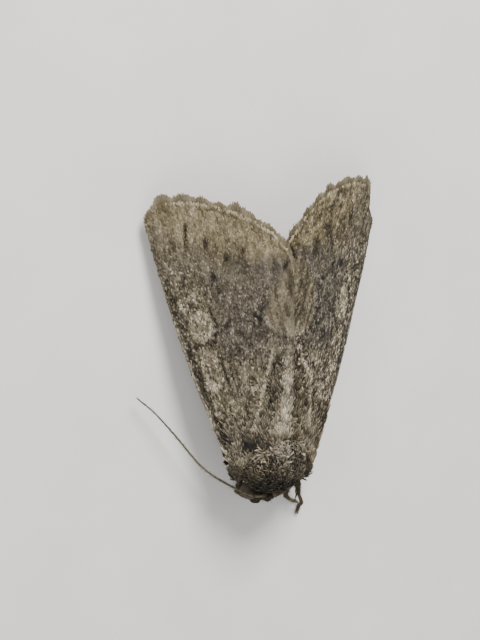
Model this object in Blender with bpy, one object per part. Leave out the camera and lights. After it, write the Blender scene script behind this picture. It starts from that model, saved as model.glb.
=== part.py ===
"""A dark owlet moth at rest, life size, in metres with +Z up.

The moth faces -Y and stands on the plane z = 0, with its left side towards +X.
Its forewings lie back like a roof, the right one over the left one, and the
hindwings are folded under them. Each named part of the insect is one closed
solid, and a thin gap parts it from its neighbours.

The parts are laid out from the middle of the wing roots. The last step shifts
them so that the middle of the bounding box lies over the world's origin.
"""

import math

import bmesh
import bpy
import numpy as np
from mathutils import Vector

MM = 0.001
GAP = 0.15 * MM  # between neighbouring parts

# Colours are linear, as Blender takes them.
WING_BROWN = (0.100, 0.078, 0.055)
UNDER_BROWN = (0.150, 0.125, 0.095)
BODY_BROWN = (0.070, 0.055, 0.036)
HEAD_BROWN = (0.034, 0.026, 0.014)
LEG_BROWN = (0.080, 0.064, 0.036)
ANTENNA_BROWN = (0.120, 0.090, 0.050)
EYE_BLACK = (0.010, 0.008, 0.006)
TONGUE_BROWN = (0.060, 0.030, 0.012)

# Thorax, with its collar and shoulder plates, inside one domed outline.
THORAX_Y = 0.15 * MM
THORAX_Z = 3.3 * MM
THORAX_HALF_LENGTH = 2.25 * MM
THORAX_HALF_WIDTH = 2.45 * MM
THORAX_RISE = 2.5 * MM  # from its widest level to its back
THORAX_DEPTH = 2.1 * MM  # from its widest level to its underside
PLATE = 0.5 * MM  # thickness of the collar and the shoulder plates
COLLAR_BACK = -1.3 * MM
TEGULA_FRONT = COLLAR_BACK + 2 * GAP
TEGULA_BACK = 1.6 * MM
TEGULA_TOP = math.radians(33)  # angles from straight up
TEGULA_FOOT = math.radians(84)
COLLAR_FOOT = math.radians(96)
DOME_POWER = 2.3  # how full the thorax is towards its ends

# Head, hung low in front of the collar.
HEAD_CENTRE = Vector((0, -2.28, 1.80)) * MM
HEAD_RADII = Vector((1.40, 0.78, 1.20)) * MM
EYE_PLANE = 0.95 * MM  # the flat cheek that carries the eye
EYE_RADIUS = 0.78 * MM
EYE_BULGE = 0.50 * MM

# Abdomen, under the wings.
ABDOMEN_START = 2.6 * MM
ABDOMEN_END = 11.4 * MM
ABDOMEN_HALF_WIDTH = 1.9 * MM
ABDOMEN_HALF_HEIGHT = 1.35 * MM
ABDOMEN_Z = 1.9 * MM
TUFT_LENGTH = 2.2 * MM

# Forewing, flat: u runs from the root along the front edge, v across to the hind edge.
WING_THICKNESS = 0.5 * MM
FRINGE = 0.55  # width of the fringe beyond the outer edge, in mm
FORE_ROOT = ((-0.6, 0.30), (1.2, 4.4))  # front and hind ends of the root
FORE_TIP = (18.8, -0.35)
FORE_TORNUS = (12.7, 8.75)
FORE_BULGES = (0.42, 0.95, 0.12)  # of the front, outer and hind edges
FORE_CORNERS = (2.8, 2.4)  # how far the tip and the hind corner are rounded off
HIND_ROOT = ((2.4, 2.0), (2.7, 3.4))
HIND_TIP = (13.4, 3.0)
HIND_TORNUS = (11.6, 6.5)
HIND_BULGES = (0.25, 0.60, 0.15)
HIND_CORNERS = (2.2, 1.8)
HIND_BELOW = WING_THICKNESS + 0.2 * MM  # hindwing under forewing
CORNER_DEPTH = 0.8  # of a rounded corner, as a share of its radius
BOW_SKEW = 1.2  # shifts the fullest part of the outer edge towards the hind corner

# How each forewing is carried. Spread is the turn of the front edge from the body's
# axis, roof is the slope down to the side, and bow is how much fuller the outer edge is.
ROOT_X = 3.3 * MM
ROOT_Z = 3.8 * MM
CAMBER = 0.35 * MM
CAMBER_FULL = 6 * MM  # from here outwards the camber is full
TUCK_WIDTH = 1.8 * MM
POSES = {
    -1: {"side": "right", "root_y": -0.20, "roof": 30.5, "spread": 17.3, "tuck": 0.55, "nick": 0.0,
         "bow": 0.45},
    1: {"side": "left", "root_y": 0.05, "roof": 27.5, "spread": 20.8, "tuck": 1.15, "nick": 0.75,
        "bow": 0.95},
}
NICK_START = 16.6  # the worn tip of the left wing is narrower from here on, in mm
NICK_WIDTH = 2.5  # how far across the wing the nick reaches, in mm

# Legs: hip, knee and ankle, then the points of the foot, in mm. The hind pair is given
# for the left side and is alike on the right. The left midleg is stretched forwards.
FOOT = 0.23  # height of the middle of a foot over the ground, in mm
JOINT_TRIM = 0.2  # left free on each side of a joint, in mm
FEMUR_RADII = (0.34, 0.42, 0.30)
TIBIA_RADII = (0.27, 0.33, 0.26)
TARSUS_RADII = (0.25, 0.27, 0.27, 0.25)
LEGS = {
    "foreleg_left": [(0.45, -1.10, 0.90), (2.10, -2.00, 1.20), (2.25, -3.50, 0.75),
                     [(2.60, -3.92, 0.30), (2.95, -4.20, FOOT), (3.28, -4.36, FOOT)]],
    "foreleg_right": [(-0.45, -1.10, 0.85), (-1.80, -1.50, 1.05), (-1.40, -2.60, 0.50),
                      [(-1.20, -2.95, 0.26), (-0.65, -3.38, FOOT), (0.00, -3.66, FOOT)]],
    "midleg_left": [(0.65, -0.15, 0.75), (2.60, -1.35, 1.70), (2.95, -3.30, 1.30),
                    [(3.42, -4.18, 0.82), (3.55, -4.70, FOOT), (3.42, -5.12, FOOT)]],
    "midleg_right": [(-0.65, -0.15, 0.75), (-2.40, -0.25, 1.40), (-2.40, 1.55, 0.55),
                     [(-2.45, 2.10, 0.26), (-2.60, 3.20, FOOT), (-2.80, 4.40, FOOT)]],
    "hindleg": [(0.70, 0.85, 0.80), (3.00, 1.85, 1.70), (3.30, 6.20, 0.55),
                [(3.34, 6.80, 0.26), (3.40, 8.40, FOOT), (3.50, 10.00, FOOT)]],
}
LEG_SIDES = 8
END_INSET = 0.25  # of a tube's end step, where its rounding starts
END_SHARE = 0.55  # of its radius, left at its rounded end

# Antennae: points in mm from base to tip. The left one is tucked under its wing.
ANTENNA_RADII = (0.27, 0.24)
ANTENNAE = {
    "antenna_right": [(-0.50, -2.36, 3.25), (-1.35, -2.32, 2.95), (-3.20, -1.25, 2.35), (-4.60, 0.00, 1.95),
                      (-6.10, 2.00, 1.50), (-7.45, 3.60, 1.20), (-8.65, 4.90, 0.85)],
    "antenna_left": [(0.50, -2.38, 3.25), (1.40, -2.22, 2.95), (2.80, -1.10, 2.40), (3.22, 0.60, 2.35),
                     (3.50, 2.40, 2.35), (3.95, 4.80, 2.10), (4.55, 7.40, 1.65)],
}

# Palps, for the left side: points in mm and the radius at each.
PALP = [((0.62, -3.02, 0.72), 0.26), ((0.62, -3.24, 1.05), 0.29), ((0.60, -3.35, 1.55), 0.30),
        ((0.56, -3.33, 2.02), 0.26)]
TONGUE_RADIUS = 0.36 * MM
TONGUE_WIDTH = 0.5 * MM
TONGUE_CENTRE = Vector((0, -3.22, 0.92)) * MM


def finish(colour, roughness, name):
    """A plain material of this colour."""
    material = bpy.data.materials.new(name)
    material.use_nodes = True
    shader = material.node_tree.nodes["Principled BSDF"]
    shader.inputs["Base Color"].default_value = (*colour, 1.0)
    shader.inputs["Roughness"].default_value = roughness
    shader.inputs["Metallic"].default_value = 0.0
    material.diffuse_color = (*colour, 1.0)
    return material


def add_part(name, mesh, colour, roughness=0.8):
    """Puts a bmesh into the scene as the named part, with outward faces."""
    bmesh.ops.recalc_face_normals(mesh, faces=mesh.faces)
    data = bpy.data.meshes.new(name)
    mesh.to_mesh(data)
    mesh.free()
    part = bpy.data.objects.new(name, data)
    bpy.context.scene.collection.objects.link(part)
    data.materials.append(finish(colour, roughness, name))
    return part


def grid_faces(mesh, points, closed=False):
    """Quads over a grid of points, with the last column joined to the first if closed."""
    rows, columns = points.shape[:2]
    corners = [[mesh.verts.new(place) for place in row] for row in points]
    for i in range(rows - 1):
        for j in range(columns if closed else columns - 1):
            k = (j + 1) % columns
            mesh.faces.new((corners[i][j], corners[i][k], corners[i + 1][k], corners[i + 1][j]))
    return corners


def loft(rings):
    """A closed solid through rings of points, with a flat cap on each end."""
    mesh = bmesh.new()
    corners = grid_faces(mesh, np.asarray(rings), closed=True)
    mesh.faces.new(corners[0])
    mesh.faces.new(corners[-1])
    return mesh


def smooth_path(points, per_span):
    """A Catmull-Rom curve through the points, with per_span steps between two of them."""
    points = np.asarray(points, float)
    padded = np.vstack([2 * points[0] - points[1], points, 2 * points[-1] - points[-2]])
    step = np.arange(per_span)[:, None] / per_span
    spans = []
    for before, start, end, after in zip(padded, padded[1:], padded[2:], padded[3:]):
        spans.append(0.5 * (2 * start + (end - before) * step
                            + (2 * before - 5 * start + 4 * end - after) * step**2
                            + (3 * start - before - 3 * end + after) * step**3))
    return np.vstack(spans + [points[-1:]])


def tube(path, radii, sides=LEG_SIDES):
    """Rings round a path. The lowest points are levelled at z = 0, as flats to stand on."""
    ahead = np.gradient(path, axis=0)
    ahead /= np.linalg.norm(ahead, axis=1)[:, None]
    across = np.cross(ahead, (0, 0, 1))
    across /= np.linalg.norm(across, axis=1)[:, None]
    over = np.cross(across, ahead)
    turn = (np.arange(sides) + 0.5) / sides * 2 * math.pi
    rings = path[:, None] + radii[:, None, None] * (
        across[:, None] * np.cos(turn)[None, :, None] + over[:, None] * np.sin(turn)[None, :, None]
    )
    rings[..., 2] = np.maximum(rings[..., 2], 0.0)
    return rings


def rounded_tube(points, per_span, sides=LEG_SIDES):
    """A smooth tube through (place, radius) pairs in mm, rounded off within its ends."""
    table = smooth_path([(*place, radius) for place, radius in points], per_span) * MM
    inset = table[[0, -1], :3] + (table[[1, -2], :3] - table[[0, -1], :3]) * END_INSET
    start, end = np.array([*inset[0], table[0, 3]]), np.array([*inset[1], table[-1, 3]])
    rounded = np.vstack([table[0], start, table[1:-1], end, table[-1]])
    rounded[[0, -1], 3] *= END_SHARE
    return loft(tube(rounded[:, :3], rounded[:, 3], sides))


def dome(y, angle, grow=0.0):
    """A point of the thorax's outline at y, this angle round from straight up."""
    along = np.clip(np.abs(y - THORAX_Y) / (THORAX_HALF_LENGTH + grow), 0, 1)
    share = (1 - along**DOME_POWER) ** (1 / DOME_POWER)
    half_width = (THORAX_HALF_WIDTH + grow) * share
    rise = np.where(np.cos(angle) > 0, THORAX_RISE, THORAX_DEPTH) + grow
    return np.stack(np.broadcast_arrays(
        half_width * np.sin(angle), y, THORAX_Z + rise * share * np.cos(angle)), -1)


def dome_stations(count, grow=0.0):
    """Places along the thorax, closer together towards its ends."""
    turn = np.linspace(0.04, 0.96, count) * math.pi
    return THORAX_Y - (THORAX_HALF_LENGTH + grow) * np.cos(turn)


def smoothstep(low, high, value):
    """Rises smoothly from 0 at low to 1 at high."""
    share = np.clip((value - low) / (high - low), 0, 1)
    return share * share * (3 - 2 * share)


def add_thorax():
    """The trunk, sunk by the thickness of the plates where the collar and tegulae cover it."""
    turn = np.linspace(0.06, 0.96, 16) * math.pi
    reach = THORAX_HALF_LENGTH - np.where(np.cos(turn) > 0, PLATE + GAP, 0)
    stations = (THORAX_Y - reach * np.cos(turn))[:, None]
    angles = np.linspace(-math.pi, math.pi, 33)[:-1][None, :]
    outline = dome(stations, angles)
    sunk = dome(stations, angles, -(PLATE + GAP))
    crown = 1 - smoothstep(TEGULA_TOP - 0.35, TEGULA_TOP - 0.1, np.abs(angles))
    belly = smoothstep(TEGULA_FOOT + 0.05, TEGULA_FOOT + 0.3, np.abs(angles))
    bare = np.maximum(crown, belly) * smoothstep(COLLAR_BACK + GAP, COLLAR_BACK + 3 * GAP, stations)
    bare = np.maximum(bare, smoothstep(TEGULA_BACK + GAP, TEGULA_BACK + 3 * GAP, stations))
    bare = np.maximum(bare, smoothstep(COLLAR_FOOT + 0.1, COLLAR_FOOT + 0.4, np.abs(angles)))
    shape = sunk + (outline - sunk) * bare[..., None]
    add_part("thorax", loft(shape), BODY_BROWN)


def add_plate(name, stations, angles, colour):
    """A curved plate that follows the thorax's outline."""
    outer = dome(stations[:, None], angles[None, :])
    mesh = bmesh.new()
    grid_faces(mesh, outer)
    bmesh.ops.recalc_face_normals(mesh, faces=mesh.faces)
    plate = add_part(name, mesh, colour)
    first = plate.data.polygons[0]
    if first.normal.dot(first.center - Vector((0, 0, THORAX_Z))) < 0:
        plate.data.flip_normals()
    thick = plate.modifiers.new("thickness", "SOLIDIFY")
    thick.thickness = PLATE - GAP
    thick.offset = -1.0


def add_collar_and_tegulae():
    """The collar over the neck, and the shoulder plates over the wing roots."""
    front = THORAX_Y - 0.90 * THORAX_HALF_LENGTH
    add_plate("collar", np.linspace(front, COLLAR_BACK, 4),
              np.linspace(-COLLAR_FOOT, COLLAR_FOOT, 19), BODY_BROWN)
    stations = np.linspace(TEGULA_FRONT, TEGULA_BACK, 9)
    for side, name in ((1, "tegula_left"), (-1, "tegula_right")):
        add_plate(name, stations, side * np.linspace(TEGULA_TOP, TEGULA_FOOT, 8), BODY_BROWN)


def add_head():
    """A rounded head with flat cheeks, and a domed eye on each cheek."""
    turn = np.linspace(0.05, 0.95, 10) * math.pi
    angles = np.linspace(0, 2 * math.pi, 19)[:-1]
    rings = np.stack(np.broadcast_arrays(
        HEAD_RADII.x * np.sin(turn)[:, None] * np.cos(angles),
        -HEAD_RADII.y * np.cos(turn)[:, None],
        HEAD_RADII.z * np.sin(turn)[:, None] * np.sin(angles)), -1)
    rings[..., 0] = np.clip(rings[..., 0], -EYE_PLANE, EYE_PLANE)
    add_part("head", loft(rings + np.array(HEAD_CENTRE)), HEAD_BROWN)
    for side, name in ((1, "eye_left"), (-1, "eye_right")):
        add_eye(name, side)


def add_eye(name, side):
    """A dome that bulges out from the cheek."""
    rise = np.linspace(0, 0.45, 5) * math.pi
    angles = np.linspace(0, 2 * math.pi, 17)[:-1]
    rings = np.stack(np.broadcast_arrays(
        side * (EYE_PLANE + GAP + EYE_BULGE * np.sin(rise)[:, None]),
        EYE_RADIUS * 0.9 * np.cos(rise)[:, None] * np.cos(angles),
        EYE_RADIUS * np.cos(rise)[:, None] * np.sin(angles)), -1)
    add_part(name, loft(rings + np.array(HEAD_CENTRE)), EYE_BLACK, 0.25)


def add_mouthparts():
    """Two upturned palps, with the coiled tongue between them."""
    for side, name in ((1, "palp_left"), (-1, "palp_right")):
        points = [((side * x, y, z), radius) for (x, y, z), radius in PALP]
        add_part(name, rounded_tube(points, 2), HEAD_BROWN)
    angles = np.linspace(0, 2 * math.pi, 17)[:-1]
    rings = [[TONGUE_CENTRE + Vector((share * TONGUE_WIDTH / 2, radius * math.cos(a), radius * math.sin(a)))
              for a in angles]
             for share, radius in ((-1, TONGUE_RADIUS * 0.8), (-0.6, TONGUE_RADIUS),
                                   (0.6, TONGUE_RADIUS), (1, TONGUE_RADIUS * 0.8))]
    add_part("proboscis", loft(rings), TONGUE_BROWN, 0.4)


def add_antennae():
    """Plain threads, tapering a little to the tip."""
    for name, points in ANTENNAE.items():
        radii = np.linspace(*ANTENNA_RADII, len(points))
        add_part(name, rounded_tube(list(zip(points, radii)), 3, 7), ANTENNA_BROWN, 0.6)


def abdomen_ring(y, share, angles):
    """A ring of the abdomen's outline at y, this share of its full size."""
    return np.stack(np.broadcast_arrays(
        ABDOMEN_HALF_WIDTH * share * np.cos(angles), y,
        ABDOMEN_Z + ABDOMEN_HALF_HEIGHT * share * np.sin(angles)), -1)


def add_abdomen():
    """A long cone with its fullest part a quarter of the way back, and the tuft on its end."""
    angles = np.linspace(0, 2 * math.pi, 21)[:-1]
    along = np.linspace(0, 1, 15)
    girth = np.interp(along, (0, 0.06, 0.25, 0.6, 1), (0.62, 0.84, 1, 0.88, 0.5))
    stations = ABDOMEN_START + along * (ABDOMEN_END - ABDOMEN_START)
    add_part("abdomen", loft([abdomen_ring(y, g, angles) for y, g in zip(stations, girth)]), BODY_BROWN)
    along = np.linspace(0, 1, 6)
    stations = ABDOMEN_END + GAP + along * TUFT_LENGTH
    girth = 0.5 * (1 - along**2) + 0.12
    add_part("anal_tuft", loft([abdomen_ring(y, g, angles) for y, g in zip(stations, girth)]), UNDER_BROWN)


def wing_sheet(root, tip, tornus, bulges, corners, steps, fringe=0.0, bow=0.0):
    """Flat wing points in mm, as rows from root to outer edge, like its veins.

    Each row is a straight line. The three edges then bow outwards. The rows near the tip
    are cut short along themselves and those near the hind corner square to the outer
    edge, both by a quarter circle.
    """
    even = np.linspace(0, 1, steps[1])[None, :, None]
    across = even - 0.1 * np.sin(2 * math.pi * even)  # closer together at both edges
    along = np.linspace(0, 1, steps[0])[:, None, None]
    root, tip, tornus = np.array(root, float), np.array(tip, float), np.array(tornus, float)
    start = root[0] + (root[1] - root[0]) * across
    edge = tip + (tornus - tip) * across
    outward = np.array([tornus[1] - tip[1], tip[0] - tornus[0]])
    outward /= np.linalg.norm(outward)
    bulge = bulges[1] * np.sin(math.pi * across) + bow * np.sin(math.pi * across**BOW_SKEW)
    edge = edge + outward * (bulge + fringe)
    width = np.linalg.norm(tornus - tip)
    row = (edge - start) / np.linalg.norm(edge - start, axis=-1, keepdims=True)
    for radius, gone, way in zip(corners, (across, 1 - across), (row, outward)):
        reach = np.clip(1 - gone * width / radius, 0, 1)
        edge = edge - way * radius * (1 - np.sqrt(1 - reach**2)) * CORNER_DEPTH
    points = start + (edge - start) * along
    swell = np.sin(math.pi * along)
    points[..., 1:] -= bulges[0] * swell * (1 - across) ** 4
    points[..., 1:] += bulges[2] * swell * across**4
    return points


def wing_place(side, flat, sink=0.0):
    """Flat wing points, given in mm, set in their place at rest.

    The sheet turns out from the body's axis by the spread and slopes down by the roof,
    with a camber across it. Sink lowers it, and the tuck presses the hind edge down.
    """
    pose = POSES[side]
    roof, spread = math.radians(pose["roof"]), math.radians(pose["spread"])
    inward = np.array([-side * math.cos(roof), 0, math.sin(roof)])
    back = np.array([0.0, 1.0, 0.0])
    ahead = back * math.cos(spread) - inward * math.sin(spread)
    over = back * math.sin(spread) + inward * math.cos(spread)
    up = np.cross(ahead, over) * side
    u, v = flat[..., :1] * MM, flat[..., 1:] * MM
    (base_u, base_v), (end_u, end_v) = FORE_ROOT[1], FORE_TORNUS
    hind_edge = (base_v + (u / MM - base_u) * (end_v - base_v) / (end_u - base_u)) * MM
    share = np.clip(v / np.maximum(hind_edge, MM), 0, 1)
    height = CAMBER * np.sin(math.pi * share) * smoothstep(0, CAMBER_FULL, u)
    tuck = np.clip(1 - (hind_edge - v) / TUCK_WIDTH, 0, 1.2) ** 2
    height = height - pose["tuck"] * MM * tuck - sink
    root = np.array([side * ROOT_X, pose["root_y"] * MM, ROOT_Z])
    return root + ahead * u + over * v + up * height


def add_wing(name, side, flat, sink, colour):
    """A wing as a sheet of even thickness, with its upper face on the placed points."""
    mesh = bmesh.new()
    grid_faces(mesh, wing_place(side, flat, sink))
    wing = add_part(name, mesh, colour)
    if wing.data.polygons[0].normal.z < 0:
        wing.data.flip_normals()
    thick = wing.modifiers.new("thickness", "SOLIDIFY")
    thick.thickness = WING_THICKNESS
    thick.offset = -1.0
    thick.use_even_offset = True
    return wing


def add_wings(cutter):
    """Both pairs. The forewings are cut clear of the thorax by the cutter."""
    for side in POSES:
        label = POSES[side]["side"]
        flat = wing_sheet(FORE_ROOT, FORE_TIP, FORE_TORNUS, FORE_BULGES, FORE_CORNERS, (23, 12),
                          FRINGE, POSES[side]["bow"])
        inset = POSES[side]["nick"] * (1 - flat[..., 1] / NICK_WIDTH).clip(0, 1)
        flat[..., 1] += inset * (flat[..., 0] > NICK_START)
        forewing = add_wing("forewing_" + label, side, flat, 0.0, WING_BROWN)
        clear = forewing.modifiers.new("clear of thorax", "BOOLEAN")
        clear.operation = "DIFFERENCE"
        clear.object = cutter
        flat = wing_sheet(HIND_ROOT, HIND_TIP, HIND_TORNUS, HIND_BULGES, HIND_CORNERS, (14, 8))
        add_wing("hindwing_" + label, side, flat, HIND_BELOW, UNDER_BROWN)


def add_cutter():
    """The thorax's outline grown by the gap, which cuts the wing roots and isn't a part."""
    stations = dome_stations(13, GAP)[:, None]
    angles = np.linspace(-math.pi, math.pi, 25)[:-1][None, :]
    cutter = add_part("thorax_clearance", loft(dome(stations, angles, GAP)), BODY_BROWN)
    cutter.hide_render = True
    cutter.display_type = "WIRE"
    return cutter


def leg_piece(joints, radii, per_span):
    """A tube between two joints, stopping short of the joint at each end where one follows."""
    joints = np.array(joints, float)
    for end, neighbour in ((0, 1), (-1, -2)):
        if end == 0 or len(joints) < 4:
            step = joints[neighbour] - joints[end]
            joints[end] += step / np.linalg.norm(step) * JOINT_TRIM
    if len(joints) == 2:
        joints = np.array([joints[0], joints.mean(0), joints[1]])
    return rounded_tube(list(zip(joints, radii)), per_span)


def add_legs():
    """Six legs of three pieces each."""
    for name, (hip, knee, ankle, foot) in LEGS.items():
        sides = ((1, name),) if "_" in name else ((1, name + "_left"), (-1, name + "_right"))
        for side, label in sides:
            mirror = np.array((side, 1, 1))
            add_part(label + "_femur", leg_piece([hip, knee] * mirror, FEMUR_RADII, 2), LEG_BROWN)
            add_part(label + "_tibia", leg_piece([knee, ankle] * mirror, TIBIA_RADII, 2), LEG_BROWN)
            add_part(label + "_tarsus", leg_piece([ankle, *foot] * mirror, TARSUS_RADII, 2), LEG_BROWN)


def centre_over_origin():
    """Shifts all parts so that their bounding box is centred over the origin."""
    graph = bpy.context.evaluated_depsgraph_get()
    corners = []
    for part in bpy.data.objects:
        if not part.hide_render:
            shape = part.evaluated_get(graph).to_mesh()
            corners.append(np.array([vertex.co for vertex in shape.vertices]))
    corners = np.vstack(corners)
    middle = (corners.min(0) + corners.max(0)) / 2
    for part in bpy.data.objects:
        part.location = (-middle[0], -middle[1], 0)


def main():
    for old in list(bpy.data.objects):
        bpy.data.objects.remove(old)
    add_thorax()
    add_collar_and_tegulae()
    add_head()
    add_mouthparts()
    add_antennae()
    add_abdomen()
    add_wings(add_cutter())
    add_legs()
    centre_over_origin()


main()
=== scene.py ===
"""A dark owlet moth at rest, life size: skin, wings, scale coat, feelers, eyes and feet.

Shapes are worked out in millimetres in the insect's own frame. Its origin lies between the
wing roots, the head is towards -Y, the left side towards +X and the ground is z = 0. The
frame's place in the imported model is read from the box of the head.

Every shape is made of whole numpy arrays: a function of two shares, or rings carried along a
path. Each point carries three marks that the finishes read: tone, warmth and chance.
"""

import logging
import math
from collections.abc import Callable, Sequence
from dataclasses import dataclass
from enum import Enum
from functools import cached_property
from typing import Protocol

import bpy
import numpy as np
from mathutils import Matrix, Vector

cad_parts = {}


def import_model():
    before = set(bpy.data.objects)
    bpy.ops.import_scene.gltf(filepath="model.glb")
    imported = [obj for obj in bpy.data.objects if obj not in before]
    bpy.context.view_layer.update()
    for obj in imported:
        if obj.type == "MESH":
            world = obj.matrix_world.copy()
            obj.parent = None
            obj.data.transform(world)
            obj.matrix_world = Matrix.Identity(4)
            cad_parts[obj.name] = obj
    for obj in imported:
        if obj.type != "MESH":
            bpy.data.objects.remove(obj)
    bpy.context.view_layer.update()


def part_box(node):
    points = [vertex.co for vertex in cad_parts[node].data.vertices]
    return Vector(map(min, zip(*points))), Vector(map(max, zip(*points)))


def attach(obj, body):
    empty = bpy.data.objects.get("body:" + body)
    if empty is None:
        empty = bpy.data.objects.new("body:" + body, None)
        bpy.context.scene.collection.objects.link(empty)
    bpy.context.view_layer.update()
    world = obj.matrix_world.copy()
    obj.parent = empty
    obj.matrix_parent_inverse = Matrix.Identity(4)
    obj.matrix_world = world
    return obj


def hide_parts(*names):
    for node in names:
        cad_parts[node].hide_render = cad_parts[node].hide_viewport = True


Array = np.ndarray
Pair = tuple[float, float]
Triple = tuple[float, float, float]
Surface = Callable[[Array, Array], Array]
Rule = Callable[[Array], Array]
# from roots, directions along the skin and normals to the tufts' directions
Lie = Callable[[Array, Array, Array], Array]

MM = 0.001
PATCH = 0.003  # width of one tuft's patch on the unwrap
HEAD_CENTRE = (0.0, -2.28, 1.80)
GAIN = 0.78  # from the tone that is seen to the tone of the colour itself
RAMP_TONES = (0.0, 0.15, 0.3, 0.45, 0.6, 0.8, 1.0)
log = logging.getLogger("moth")


class Side(Enum):
    """A side of the insect, as the sign of its X."""

    LEFT = 1
    RIGHT = -1

    @property
    def label(self) -> str:
        """The side's name in piece names."""
        return self.name.lower()


class TuftKind(Enum):
    """How one tuft is cut."""

    SHIELD = "a broad scale with a square end"
    LOCK = "a lock of scales, widest near its end"
    HAIR = "a hair that runs out to a point"


SHIELD, LOCK, HAIR = TuftKind.SHIELD, TuftKind.LOCK, TuftKind.HAIR


# ---------------------------------------------------------------- numbers


def smoothstep(low: float, high: float, value: Array) -> Array:
    """Rises smoothly from 0 at low to 1 at high."""
    share = np.clip((value - low) / (high - low), 0, 1)
    return share * share * (3 - 2 * share)


def bell(value: Array, centre: float, width: float) -> Array:
    """1 at the centre, falling off on both sides as a bell curve of this width."""
    return np.exp(-(((value - centre) / width) ** 2))


def unit(vectors: Array) -> Array:
    """The vectors, each divided by its own length."""
    return vectors / np.maximum(np.linalg.norm(vectors, axis=-1, keepdims=True), 1e-12)


def together(*parts: Array | float) -> Array:
    """Coordinates or marks put together in a last axis, after they are spread to one shape."""
    return np.stack(np.broadcast_arrays(*parts), -1)


def noise(places: Array, cell: float, seed: int = 0) -> Array:
    """Smooth noise: a random number on each lattice point, blended between them.

    Args:
        places: Places of any dimension, in the last axis.
        cell: Distance between two lattice points.
        seed: Picks another set of numbers.

    Returns:
        Values from -1 to 1.
    """
    spot = places / cell + 31.7 * seed
    corner = np.floor(spot)
    share = spot - corner
    share = share * share * (3 - 2 * share)
    hashing = np.array((12.9898, 78.233, 37.719))[: places.shape[-1]]
    total = np.zeros(places.shape[:-1])
    for step in np.ndindex(*(2,) * places.shape[-1]):
        number = np.sin((corner + step) @ hashing) * 43758.5453
        weight = np.prod(np.where(np.array(step) == 1, share, 1 - share), axis=-1)
        total += weight * (number - np.floor(number))
    return 2 * total - 1


def sway(places: Array, cell: float, seed: int) -> Array:
    """A direction that wanders from place to place: one noise for each axis."""
    return np.stack([noise(places, cell, seed + k) for k in range(3)], -1)


def smooth_path(points: Array, per_span: int) -> Array:
    """A Catmull-Rom curve through points.

    Args:
        points: The points, with any number of columns.
        per_span: Steps between two of them.

    Returns:
        The curve's stations, with the same columns.
    """
    points = np.asarray(points, float)
    padded = np.vstack([2 * points[0] - points[1], points, 2 * points[-1] - points[-2]])
    step = (np.arange(per_span) / per_span)[:, None]
    spans = [
        0.5 * (2 * start + (end - before) * step + (2 * before - 5 * start + 4 * end - after) * step**2
               + (3 * start - before - 3 * end + after) * step**3)
        for before, start, end, after in zip(padded, padded[1:], padded[2:], padded[3:])
    ]
    return np.vstack([*spans, points[-1:]])


def sample(table: Array, share: Array) -> Array:
    """Looks places up in a table, blending each between two rows.

    Args:
        table: Rows at even steps.
        share: Shares of the table's length.

    Returns:
        A row for each share.
    """
    place = np.clip(share, 0, 1) * (len(table) - 1)
    low = np.minimum(place.astype(int), len(table) - 2)
    part = (place - low)[..., None]
    return table[low] * (1 - part) + table[low + 1] * part


def ring_shares(rows: int, sides: int, low: float = 0.0, high: float = 1.0) -> list[Array]:
    """Shares along and around for rings of points, from low to high along."""
    return np.meshgrid(np.linspace(low, high, rows), np.arange(sides) / sides, indexing="ij")


def tangents(surface: Surface, along: Array, around: Array, step: float) -> tuple[Array, Array, Array]:
    """Places on a surface and its directions there, by small differences.

    Args:
        surface: Gives places from two shares.
        along: First share.
        around: Second share.
        step: Half the difference of shares.

    Returns:
        Places, directions of the first share and directions of the second.
    """
    ahead = surface(along + step, around) - surface(along - step, around)
    over = surface(along, around + step) - surface(along, around - step)
    return surface(along, around), ahead, over


# ---------------------------------------------------------------- forms


@dataclass
class Form:
    """Triangles in mm, with the marks and the unwrap of each point.

    Attributes:
        points: Places, n by 3.
        faces: Corners of each triangle, m by 3, counter-clockwise from outside.
        marks: Tone, warmth and chance of each point, n by 3.
        unwrap: Place of each point on the unwrap, n by 2, or None.
    """

    points: Array
    faces: Array
    marks: Array | None = None
    unwrap: Array | None = None

    def outward(self) -> "Form":
        """This form with its faces turned out, going by the sign of its volume."""
        a, b, c = self.points[self.faces].transpose(1, 0, 2)
        if np.einsum("ij,ij->", a - self.points[0], np.cross(b - self.points[0], c - self.points[0])) < 0:
            self.faces = self.faces[:, ::-1]
        return self


def join(forms: Sequence[Form]) -> Form:
    """All the forms as one. They all have marks and an unwrap, or none has."""
    starts = np.cumsum([0] + [len(form.points) for form in forms])
    faces = np.vstack([form.faces + start for form, start in zip(forms, starts)])
    marks = None if forms[0].marks is None else np.vstack([form.marks for form in forms])
    unwrap = None if forms[0].unwrap is None else np.vstack([form.unwrap for form in forms])
    return Form(np.vstack([form.points for form in forms]), faces, marks, unwrap)


def grid_faces(rows: int, columns: int, closed: bool) -> Array:
    """Two triangles for each cell of a grid of points.

    Args:
        rows: Points along the grid.
        columns: Points across it.
        closed: Whether it closes on itself across.

    Returns:
        Corners of the triangles, by number.
    """
    row, column = np.meshgrid(np.arange(rows - 1), np.arange(columns if closed else columns - 1),
                              indexing="ij")
    after = (column + 1) % columns
    a, b = row * columns + column, row * columns + after
    c, d = b + columns, a + columns
    return np.concatenate([np.stack([a, b, c], -1), np.stack([a, c, d], -1)]).reshape(-1, 3)


def ring_form(rings: Array) -> Form:
    """A closed form through rings of points, with a pole in the middle of each end ring."""
    rows, columns = rings.shape[:2]
    count = rows * columns
    around = np.arange(columns)
    after = (around + 1) % columns
    first = np.stack([after, around, np.full(columns, count)], -1)
    last = np.stack([around, after, np.full(columns, count + 1)], -1) + np.array([count - columns] * 2 + [0])
    points = np.vstack([rings.reshape(-1, 3), rings[0].mean(0), rings[-1].mean(0)])
    return Form(points, np.vstack([grid_faces(rows, columns, True), first, last])).outward()


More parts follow.
